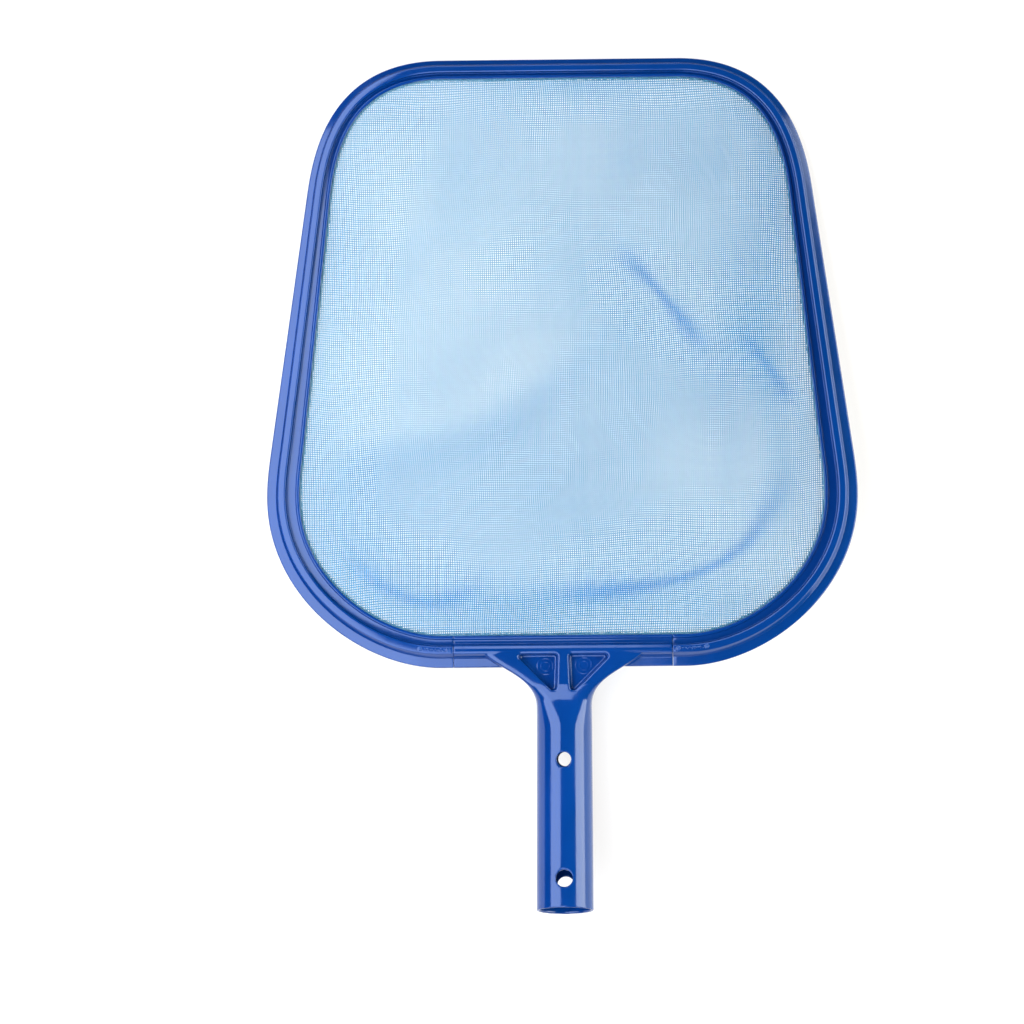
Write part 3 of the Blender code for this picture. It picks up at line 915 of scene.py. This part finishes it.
def make_welds():
    bm = bmesh.new()
    rng = np.random.default_rng(7)
    for side in (-1, 1):
        for i, along in enumerate(STAKES):
            s = side * (HALF - SEAM - along)
            p, n = edge_points(np.array([s]))
            v = section_values(np.array([s]))[0]
            m = 0.5 * (v[2] + v[3]) + 0.15
            at = (p[0, 0] + n[0, 0] * m, p[0, 1] + n[0, 1] * m, v[5] - 0.05)
            blob(bm, at, 1.35, 1.15, 0.36, 0.4 * i, 3.0 * i + side, 3)
            blob(bm, (at[0] + 0.1, at[1] - 0.1, at[2] + 0.12), 0.62, 0.55, 0.30, 0.9, 5.0 * i + side, 3)
        lo, hi = STAKES[0] + 1.6, STAKES[1] - 1.6
        for along in np.arange(lo, hi, 0.62):
            s = side * (HALF - SEAM - along - rng.uniform(-0.2, 0.2))
            p, n = edge_points(np.array([s]))
            v = section_values(np.array([s]))[0]
            m = 0.5 * (v[2] + v[3]) + rng.uniform(-0.45, 0.75)
            r = rng.uniform(0.16, 0.42)
            at = (p[0, 0] + n[0, 0] * m, p[0, 1] + n[0, 1] * m, v[5] - 0.06)
            blob(bm, at, r * 1.5, r, 0.13 + 0.10 * rng.random(), rng.uniform(-0.5, 0.5), along + side, 2)
    bmesh.ops.recalc_face_normals(bm, faces=bm.faces[:])
    mesh = bpy.data.meshes.new("stake_heads")
    bm.to_mesh(mesh)
    bm.free()
    ob = bpy.data.objects.new("stake_heads", mesh)
    bpy.context.scene.collection.objects.link(ob)
    lay(ob)
    smooth(ob, None)
    ob.data.materials.append(weld_material())
    return ob


welds = make_welds()


# ======================================================== retaining spline strip
def make_spline():
    end = HALF - 0.5 * SPLINE_GAP
    s = np.linspace(-end, end, 520)
    p, n = edge_points(s)
    values = section_values(s)
    rings = []
    for i in range(len(s)):
        m, ch = 0.5 * (values[i, 2] + values[i, 3]), values[i, 6]
        lo, hi = m - ch + GAP, m + ch - 1.0
        mid = 0.5 * (lo + hi)
        wave = 0.04 * math.sin(s[i] * 0.31) + 0.03 * math.sin(s[i] * 0.83 + 1.0)
        sec = np.array(
            fillet(
                [
                    (lo, SPLINE_BOTTOM + 0.12, 0.2),
                    (lo, SPLINE_TOP, 0.2),
                    (hi, SPLINE_TOP, 0.2),
                    (hi, SPLINE_BOTTOM + 0.12, 0.2),
                    (mid + 0.10, SPLINE_BOTTOM + wave * 0.5, 0.12),
                    (mid - 0.10, SPLINE_BOTTOM + wave * 0.5, 0.12),
                ],
                3,
            )
        )
        rings.append(
            np.stack([p[i, 0] + n[i, 0] * sec[:, 0], p[i, 1] + n[i, 1] * sec[:, 0], sec[:, 1]], axis=-1)
        )
    ob = loft("spline_strip", rings)
    smooth(ob, 40.0)
    ob.data.materials.append(spline_material())
    return ob


spline = make_spline()


# ======================================================================= the net
def loop_at(extra, count=1400):
    """A closed line round the net, extra mm inside the rim's inner edge (negative is under the rim)."""
    s = np.linspace(-HALF, HALF, count, endpoint=False)
    p, n = edge_points(s)
    d = section_values(s)[:, 0] + extra
    return p + n * d[:, None], s


def net_border():
    s = np.linspace(-HALF, HALF, 1400, endpoint=False)
    p, n = edge_points(s)
    v = section_values(s)
    d = 0.5 * (v[:, 2] + v[:, 3]) + v[:, 6] - 0.15
    return p + n * d[:, None]


BORDER = net_border()
INNER, INNER_S = loop_at(0.0)


def crossings(loop, axis, value):
    """Where the line axis = value crosses a convex closed line: lowest and highest place on the other axis."""
    a, b = loop, np.roll(loop, -1, axis=0)
    da, db = a[:, axis] - value, b[:, axis] - value
    hit = (da <= 0) != (db <= 0)
    if hit.sum() < 2:
        return None
    t = da[hit] / (da[hit] - db[hit])
    o = 1 - axis
    at = a[hit, o] + t * (b[hit, o] - a[hit, o])
    return float(at.min()), float(at.max())


GRID = 3.0
GU = np.arange(-144.0, 144.1, GRID)
GV = np.arange(0.0, 300.1, GRID)


def inside_distance(u, v, loop):
    """Distance inwards from a closed line, on a grid of points."""
    pts = np.stack([u.ravel(), v.ravel()], axis=-1)
    out = np.empty(len(pts))
    step = 4000
    for i in range(0, len(pts), step):
        q = pts[i : i + step]
        d2 = ((q[:, None, :] - loop[None, ::4, :]) ** 2).sum(-1)
        out[i : i + step] = np.sqrt(d2.min(axis=1))
    a, b = loop[::4], np.roll(loop[::4], -1, axis=0)
    x, y = pts[:, 0][:, None], pts[:, 1][:, None]
    cond = (a[None, :, 1] > y) != (b[None, :, 1] > y)
    cross = (b[None, :, 0] - a[None, :, 0]) * (y - a[None, :, 1]) / (
        b[None, :, 1] - a[None, :, 1] + 1e-12
    ) + a[None, :, 0]
    inside = (np.logical_and(cond, x < cross).sum(axis=1) % 2) == 1
    return np.where(inside, out, -out).reshape(u.shape)


GUU, GVV = np.meshgrid(GU, GV)
DEPTH = inside_distance(GUU, GVV, INNER)


def curve_distance(u, v, points):
    """Distance from a smooth curve through points, the share along it, and the side."""
    pts = np.array(points, float)
    # Catmull-Rom through the points
    ext = np.vstack([2 * pts[0] - pts[1], pts, 2 * pts[-1] - pts[-2]])
    fine = []
    for i in range(1, len(ext) - 2):
        t = np.linspace(0, 1, 24, endpoint=False)[:, None]
        p0, p1, p2, p3 = ext[i - 1], ext[i], ext[i + 1], ext[i + 2]
        fine.append(
            0.5
            * (
                2 * p1
                + (p2 - p0) * t
                + (2 * p0 - 5 * p1 + 4 * p2 - p3) * t**2
                + (3 * p1 - p0 - 3 * p2 + p3) * t**3
            )
        )
    fine = np.vstack(fine + [pts[-1:]])
    along = np.concatenate([[0], np.cumsum(np.linalg.norm(np.diff(fine, axis=0), axis=1))])
    a, b = fine[:-1], fine[1:]
    ab = b - a
    q = np.stack([u.ravel(), v.ravel()], axis=-1)
    best = np.full(len(q), 1e9)
    share = np.zeros(len(q))
    sign = np.zeros(len(q))
    for i in range(len(a)):
        t = np.clip(((q - a[i]) @ ab[i]) / max(float(ab[i] @ ab[i]), 1e-9), 0, 1)
        c = a[i] + t[:, None] * ab[i]
        d = q - c
        dist = np.sqrt((d * d).sum(1))
        near = dist < best
        best = np.where(near, dist, best)
        share = np.where(near, (along[i] + t * (along[i + 1] - along[i])) / along[-1], share)
        sign = np.where(near, np.sign(ab[i, 0] * d[:, 1] - ab[i, 1] * d[:, 0]), sign)
    return best.reshape(u.shape), share.reshape(u.shape), sign.reshape(u.shape)


# Slow folds of the slack net: (height, half width, points)
SLOW_FOLDS = (
    (1.5, 13.0, ((-122, 109), (-88, 111), (-50, 118), (-22, 133), (0, 151), (20, 166))),
    (-1.1, 16.0, ((-88, 205), (-62, 184), (-40, 165), (-12, 150))),
    (1.7, 12.0, ((60, 185), (84, 160), (98, 128), (102, 95), (92, 70))),
    (-1.4, 15.0, ((110, 190), (116, 150), (118, 115))),
    (0.9, 18.0, ((-70, 262), (-64, 232), (-66, 205))),
    (1.0, 16.0, ((-95, 60), (-55, 40), (-10, 36), (40, 42))),
    (-0.8, 18.0, ((20, 245), (60, 240), (95, 232))),
)
# Pressed creases, where the net has been folded on itself: (height, half width, strength, points)
CREASES = (
    (0.62, 2.5, 1.0, ((22, 210), (36, 198), (52, 180), (66, 162), (76, 148))),
    (0.55, 2.4, 0.75, ((85, 168), (98, 152), (109, 136), (116, 122))),
    (0.62, 2.6, 0.95, ((117, 106), (112, 92), (102, 77), (90, 60), (72, 48), (50, 41), (20, 37), (-14, 36), (-26, 38))),
    (0.50, 2.8, 0.65, ((-113, 62), (-100, 50), (-86, 39), (-66, 32), (-48, 37), (-38, 45), (-30, 50))),
)


def slow_height(u, v):
    h = np.zeros_like(u)
    for height, half, points in SLOW_FOLDS:
        d, share, _ = curve_distance(u, v, points)
        ends = smoothstep(share, 0.0, 0.25) * (1 - smoothstep(share, 0.75, 1.0)) * 0.75 + 0.25
        h += 1.5 * height * ends * np.exp(-((d / half) ** 2))
    h += 0.35 * np.sin(u * 0.061 + 0.8 * np.sin(v * 0.02)) * np.cos(v * 0.047 + 0.5)
    return h


def slack_net():
    """The slack net hung in its rim by a cloth simulation. Returns heights on the grid, in mm."""
    h0 = slow_height(GUU, GVV) * smoothstep(DEPTH, 2.0, 22.0)
    rows, cols = GUU.shape
    pts = np.stack([GUU.ravel(), GVV.ravel(), h0.ravel()], axis=-1) * MM
    faces = [
        (r * cols + c, r * cols + c + 1, (r + 1) * cols + c + 1, (r + 1) * cols + c)
        for r in range(rows - 1)
        for c in range(cols - 1)
    ]
    mesh = bpy.data.meshes.new("slack")
    mesh.from_pydata(pts.tolist(), [], faces)
    mesh.update()
    ob = bpy.data.objects.new("slack", mesh)
    scene = bpy.context.scene
    scene.collection.objects.link(ob)
    held = ob.vertex_groups.new(name="held")
    for i in np.nonzero(DEPTH.ravel() < 1.5)[0]:
        held.add([int(i)], 1.0, "REPLACE")
    mod = ob.modifiers.new("cloth", "CLOTH")
    cloth = mod.settings
    cloth.quality = 6
    cloth.mass = 0.08
    cloth.tension_stiffness = 18.0
    cloth.compression_stiffness = 12.0
    cloth.shear_stiffness = 6.0
    cloth.bending_stiffness = 0.6
    cloth.air_damping = 2.0
    cloth.vertex_group_mass = "held"
    cloth.effector_weights.gravity = 1.0
    mod.point_cache.frame_start = 1
    mod.point_cache.frame_end = 24
    for f in range(1, 25):
        scene.frame_set(f)
    graph = bpy.context.evaluated_depsgraph_get()
    done = ob.evaluated_get(graph)
    m = done.to_mesh()
    co = np.zeros(len(m.vertices) * 3, np.float32)
    m.vertices.foreach_get("co", co)
    done.to_mesh_clear()
    h = co.reshape(-1, 3)[:, 2].reshape(rows, cols).astype(float) / MM
    scene.frame_set(1)
    bpy.data.objects.remove(ob, do_unlink=True)
    bpy.data.meshes.remove(mesh)
    moved = h - h0
    deepest = float(-moved.min())
    print(f"net: cloth moved {deepest:.2f} mm down at most, {float(moved.max()):.2f} mm up")
    if deepest > 1e-6:
        moved *= SAG / deepest
    return h0 + np.clip(moved, -SAG, 1.0)


NET_HEIGHT = slack_net() * smoothstep(DEPTH, 0.0, 9.0)


# The hung net's tilt towards the upper left, used only for painted light on the slopes that face that way and painted
# shade on the others.
_across, _along = np.gradient(NET_HEIGHT, GRID, axis=1), np.gradient(NET_HEIGHT, GRID, axis=0)
SLOPE = (0.75 * _across - 0.65 * _along) * smoothstep(DEPTH, 6.0, 25.0)


def grid_read(field, u, v):
    """A smooth reading of a grid field (bicubic, Catmull-Rom)."""
    x = np.clip((u - GU[0]) / GRID, 1.001, len(GU) - 3.001)
    y = np.clip((v - GV[0]) / GRID, 1.001, len(GV) - 3.001)
    i, j = np.floor(x).astype(int), np.floor(y).astype(int)
    fx, fy = x - i, y - j

    def weights(t):
        return (
            0.5 * (-t + 2 * t**2 - t**3),
            0.5 * (2 - 5 * t**2 + 3 * t**3),
            0.5 * (t + 4 * t**2 - 3 * t**3),
            0.5 * (-(t**2) + t**3),
        )

    wx, wy = weights(fx), weights(fy)
    out = np.zeros_like(u, dtype=float)
    for a in range(4):
        for b in range(4):
            out += wy[a] * wx[b] * field[j + a - 1, i + b - 1]
    return out


FG = 1.0
FU = np.arange(-146.0, 146.1, FG)
FV = np.arange(0.0, 300.1, FG)
FUU, FVV = np.meshgrid(FU, FV)
FDEPTH = inside_distance(FUU, FVV, INNER)


def crease_fields():
    h = np.zeros_like(FUU)
    fold = np.zeros_like(FUU)
    du = np.zeros_like(FUU)
    dv = np.zeros_like(FUU)
    for height, half, strength, points in CREASES:
        d, share, sign = curve_distance(FUU, FVV, points)
        ends = smoothstep(share, 0.0, 0.34) * (1 - smoothstep(share, 0.66, 1.0))
        wide = half * (1 + 0.35 * np.sin(share * 9.0 + height))
        h += height * ends * np.exp(-((d / wide) ** 2))
        fold = np.maximum(fold, strength * ends * np.exp(-((d / (wide * 1.35)) ** 2)))
        # the cloth is drawn in towards the crease from both sides
        pull = 0.45 * ends * strength * (d / 3.0) * np.exp(-((d / 9.0) ** 1.3))
        gy, gx = np.gradient(d, FG)
        du -= pull * gx
        dv -= pull * gy
    gate = smoothstep(FDEPTH, 0.5, 6.0)
    return h * gate, fold * gate, du * gate, dv * gate


CREASE_H, CREASE_F, PULL_U, PULL_V = crease_fields()


def fine_read(field, u, v):
    x = np.clip((u - FU[0]) / FG, 0.0, len(FU) - 1.001)
    y = np.clip((v - FV[0]) / FG, 0.0, len(FV) - 1.001)
    i, j = np.floor(x).astype(int), np.floor(y).astype(int)
    fx, fy = x - i, y - j
    return (
        field[j, i] * (1 - fx) * (1 - fy)
        + field[j, i + 1] * fx * (1 - fy)
        + field[j + 1, i] * (1 - fx) * fy
        + field[j + 1, i + 1] * fx * fy
    )


def net_point(u, v, lift):
    """Where the thread point (u, v) of the flat cut lies in the hung net."""
    depth = fine_read(FDEPTH, u, v)
    gate = smoothstep(depth, 0.0, 14.0)
    wander_u = (1.20 * np.sin(v * 0.047 + u * 0.021) + 0.30 * np.sin(v * 0.11 - u * 0.05 + 1.3)) * gate
    wander_v = (1.20 * np.sin(u * 0.051 - v * 0.019 + 0.7) + 0.30 * np.sin(u * 0.12 + v * 0.043)) * gate
    uu = u + wander_u + fine_read(PULL_U, u, v)
    vv = v + wander_v + fine_read(PULL_V, u, v)
    w = NET_MIDDLE + grid_read(NET_HEIGHT, uu, vv) + fine_read(CREASE_H, uu, vv) + lift
    return np.stack([uu, vv, w], axis=-1)


def keep_points(line, within):
    """Which points of a line matter, by the farthest point from each chord."""
    keep = np.zeros(len(line), bool)
    keep[[0, -1]] = True
    todo = [(0, len(line) - 1)]
    while todo:
        a, b = todo.pop()
        if b - a < 2:
            continue
        d = line[b] - line[a]
        rest = line[a + 1 : b] - line[a]
        t = np.clip(rest @ d / max(float(d @ d), 1e-12), 0, 1)
        away = np.linalg.norm(rest - t[:, None] * d, axis=1)
        far = int(away.argmax())
        if away[far] > within:
            keep[a + 1 + far] = True
            todo += [(a, a + 1 + far), (a + 1 + far, b)]
    return keep


WEAVE = np.array(
    (
        (math.cos(WEAVE_TURN), -math.sin(WEAVE_TURN)),
        (math.sin(WEAVE_TURN), math.cos(WEAVE_TURN)),
    )
)


def make_net():
    """Every thread of the net, warp over weft, cut to the border under the rim."""
    verts, faces, fold, each, painted_light_shade = [], [], [], [], []
    rng = np.random.default_rng(21)
    base = 0
    for axis, lift in ((0, CROSSING), (1, -CROSSING)):
        turned = BORDER @ WEAVE
        lo, hi = turned[:, axis].min() + 0.4, turned[:, axis].max() - 0.4
        for place in np.arange(lo, hi, PITCH):
            value = place + rng.normal(0.0, 0.03)
            ends = crossings(turned, axis, value)
            if ends is None or ends[1] - ends[0] < 3.0:
                continue
            t = np.arange(ends[0] + 0.05, ends[1] - 0.05, 1.0)
            t = np.append(t, ends[1] - 0.05)
            u, v = (np.full_like(t, value), t) if axis == 0 else (t, np.full_like(t, value))
            u, v = (np.column_stack([u, v]) @ WEAVE.T).T
            line = net_point(u, v, lift)
            folds = fine_read(CREASE_F, line[:, 0], line[:, 1])
            keep = keep_points(np.column_stack([line, folds * 0.6]), 0.045)
            line, folds = line[keep], folds[keep]
            n = len(line)
            tang = np.gradient(line, axis=0)
            tang /= np.linalg.norm(tang, axis=1, keepdims=True)
            side = np.cross(tang, (0.0, 0.0, 1.0))
            side /= np.linalg.norm(side, axis=1, keepdims=True)
            up = np.cross(side, tang)
            wide = (THREAD_WIDE * (1 + rng.normal(0, 0.04))) * (1 + 0.28 * folds)[:, None]
            ring = np.stack(
                [line + side * wide, line + up * THREAD_THICK, line - side * wide, line - up * THREAD_THICK],
                axis=1,
            )
            verts.append(ring.reshape(-1, 3))
            rows = base + 4 * np.arange(n - 1)
            for j in range(4):
                k = (j + 1) % 4
                faces.append(np.stack([rows + j, rows + k, rows + 4 + k, rows + 4 + j], axis=-1))
            faces.append(np.array([[base, base + 3, base + 2, base + 1]]))
            e = base + 4 * (n - 1)
            faces.append(np.array([[e, e + 1, e + 2, e + 3]]))
            # crease mask, used for the painted shade in the threads' colour
            fold.append(np.repeat(folds, 4))
            each.append(np.full(4 * n, rng.random()))
            # painted light and shade for each thread point
            high = painted_light_and_shade(line[:, 0], line[:, 1])
            painted_light_shade.append(np.repeat(high, 4))
            base += 4 * n
    faces = np.vstack(faces)
    ob = object_from("net_weave", np.vstack(verts), faces.tolist())
    outward(ob)
    for name, rows in (("fold", fold), ("thread", each), ("painted_light_shade", painted_light_shade)):
        layer = ob.data.attributes.new(name, "FLOAT", "POINT")
        layer.data.foreach_set("value", np.concatenate(rows).astype(np.float32))
    smooth(ob, None)
    ob.data.materials.append(thread_material())
    print(f"net: {len(faces)} faces")
    return ob


# Painted light and shade over the net, standing in for the light and dark of its slack folds, with painted shade along
# the leading edge and near the bar: (how much, u, v, half width in u, half width in v)
PAINTED_LIGHT_SHADE_PATCHES = (
    (0.62, -70, 205, 75, 80),
    (0.22, -100, 145, 40, 40),
    (-0.34, 100, 195, 26, 65),
    (-0.42, 86, 132, 17, 44),
    (-0.34, -112, 205, 15, 42),
    (0.26, 66, 104, 22, 24),
    (0.20, 108, 52, 18, 22),
    (-0.42, 5, 30, 60, 16),
    (-0.16, -82, 40, 30, 16),
    (-0.30, 10, 292, 90, 10),
)


def painted_light_and_shade(u, v):
    """Painted light and shade of the threads, 0 to 1: painted patches of light and shade drifting slowly over the net,
    and painted light and shade by the slope of its slow folds.
    """
    h = np.full_like(u, 0.44)
    for much, u0, v0, wide_u, wide_v in PAINTED_LIGHT_SHADE_PATCHES:
        h += much * np.exp(-(((u - u0) / wide_u) ** 2) - ((v - v0) / wide_v) ** 2)
    h += 0.05 * np.sin(u * 0.031 + 1.1) * np.cos(v * 0.027 - 0.6) + 0.04 * np.sin((u + v) * 0.055)
    h += 3.2 * grid_read(SLOPE, u, v)
    return np.clip(h, 0.0, 1.0)


net = make_net()


# ============================================================== the net's fused hem
def make_hem():
    """The trimmed and fused edge of the net, under the rim's lip and turned up into the rear channel."""
    count = 1500
    s = np.linspace(-HALF, HALF, count, endpoint=False)
    p, n = edge_points(s)
    values = section_values(s)
    rings = []
    for i in range(count):
        m, ch = 0.5 * (values[i, 2] + values[i, 3]), values[i, 6]
        d0, d1 = m + ch - 0.70, m + ch - 0.35
        q = Vector((s[i] * 0.55, 2.0, 0.0))
        fray = 0.45 * noise.noise(q) + 0.30 * noise.noise(q * 3.1) + 0.15 * noise.noise(q * 7.7)
        d2 = values[i, 0] + HEM_SHOWS * (0.62 + 0.9 * max(-0.55, fray))
        lift = 0.10 * noise.noise(q * 1.7 + Vector((9, 0, 0)))
        sec = np.array(
            [
                (d0, 0.62),
                (d0, SPLINE_TOP - 0.1),
                (0.5 * (d0 + d1), SPLINE_TOP),
                (d1, SPLINE_TOP - 0.1),
                (d1, 1.12),
                (0.5 * (d1 + d2), 1.10 + 0.3 * lift),
                (d2 - 0.25, 1.16 + lift),
                (d2, 1.02 + lift),
                (d2 - 0.2, 0.90 + lift),
                (0.5 * (d1 + d2), 0.80),
            ]
        )
        rings.append(
            np.stack([p[i, 0] + n[i, 0] * sec[:, 0], p[i, 1] + n[i, 1] * sec[:, 0], sec[:, 1]], axis=-1)
        )
    ob = loft("net_hem", rings, closed=True)
    smooth(ob, 50.0)
    ob.data.materials.append(hem_material())
    return ob


hem = make_hem()

# ================================================================== what rides what
for piece in (hoop, handle, welds, spline, net, hem):
    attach(piece, "root")
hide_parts("hoop_frame")
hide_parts("handle_yoke")
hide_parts("mesh_net")
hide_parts("net_edge_tape")
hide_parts("net_spline")


# ========================================================================= studio
def plane_coords(u, v, w):
    return LIE @ Vector((u * MM, v * MM, w * MM))


floor_mesh = bpy.data.meshes.new("floor")
bm = bmesh.new()
bmesh.ops.create_grid(bm, x_segments=1, y_segments=1, size=4.0)
bm.to_mesh(floor_mesh)
bm.free()
floor = bpy.data.objects.new("floor", floor_mesh)
floor.location = (0, 0, -0.0001)
bpy.context.scene.collection.objects.link(floor)
floor_mat = bpy.data.materials.new("pale_floor")
floor_mat.use_nodes = True
shader = floor_mat.node_tree.nodes["Principled BSDF"]
shader.inputs["Base Color"].default_value = (0.34, 0.34, 0.34, 1.0)
shader.inputs["Roughness"].default_value = 0.75
shader.inputs["Specular IOR Level"].default_value = 0.2
shader.inputs["Emission Color"].default_value = (1.0, 1.0, 1.0, 1.0)
shader.inputs["Emission Strength"].default_value = 0.66
floor_mesh.materials.append(floor_mat)

world = bpy.data.worlds.new("studio")
bpy.context.scene.world = world
world.use_nodes = True
world.node_tree.nodes["Background"].inputs["Color"].default_value = (0.80, 0.88, 1.0, 1.0)
world.node_tree.nodes["Background"].inputs["Strength"].default_value = 0.05


def softbox(name, centre, size, aim, radiance, colour):
    data = bpy.data.lights.new(name, "AREA")
    data.shape = "RECTANGLE"
    data.size, data.size_y = size
    data.energy = radiance * math.pi * size[0] * size[1]
    data.color = colour
    ob = bpy.data.objects.new(name, data)
    ob.location = centre
    ob.rotation_euler = (Vector(aim) - Vector(centre)).to_track_quat("-Z", "Y").to_euler()
    ob.visible_camera = False
    bpy.context.scene.collection.objects.link(ob)
    return ob


def flat_box(name, x0, x1, y0, y1, z, radiance, colour):
    """A softbox hung level, from its corners."""
    return softbox(
        name,
        (0.5 * (x0 + x1), 0.5 * (y0 + y1), z),
        (x1 - x0, y1 - y0),
        (0.5 * (x0 + x1), 0.5 * (y0 + y1), 0.0),
        radiance,
        colour,
    )


BLUISH = (0.81, 0.87, 1.0)
WARM = (1.0, 0.92, 0.76)
flat_box("left_box", -1.00, -0.175, -0.62, 0.62, 0.62, 5.6, BLUISH)
flat_box("left_back_box", -0.55, 0.03, 0.62, 0.97, 0.62, 5.0, BLUISH)
flat_box("left_front_box", -0.55, 0.10, -0.95, -0.62, 0.62, 5.0, BLUISH)
flat_box("front_box", -0.175, 0.018, -0.62, -0.17, 0.62, 4.6, BLUISH)
softbox("right_box", (1.0, 0.0, 0.42), (1.6, 0.84), (0.0, 0.0, 0.25), 7.0, WARM)

# ========================================================================= camera
camera_data = bpy.data.cameras.new("camera")
camera = bpy.data.objects.new("camera", camera_data)
bpy.context.scene.collection.objects.link(camera)
bpy.context.scene.camera = camera
camera_data.sensor_width = 36.0
DISTANCE = 4.0
FRAME_WIDTH = 1024 * 0.4912 * MM
target = plane_coords(-24.6, 76.3, 3.0)
eye = plane_coords(125.0, -45.0, DISTANCE / MM)
back = (eye - target).normalized()
up = (LIE.to_3x3() @ Vector((0, 1, 0))).normalized()
right = up.cross(back).normalized()
up = back.cross(right).normalized()
ROLL = math.radians(-0.47)
turned_right = right * math.cos(ROLL) + up * math.sin(ROLL)
turned_up = up * math.cos(ROLL) - right * math.sin(ROLL)
camera.matrix_world = Matrix(
    (
        (turned_right.x, turned_up.x, back.x, eye.x),
        (turned_right.y, turned_up.y, back.y, eye.y),
        (turned_right.z, turned_up.z, back.z, eye.z),
        (0, 0, 0, 1),
    )
)
camera_data.lens = 36.0 * (eye - target).length / FRAME_WIDTH
camera_data.clip_end = 50.0
bpy.context.scene.view_settings.view_transform = "Standard"
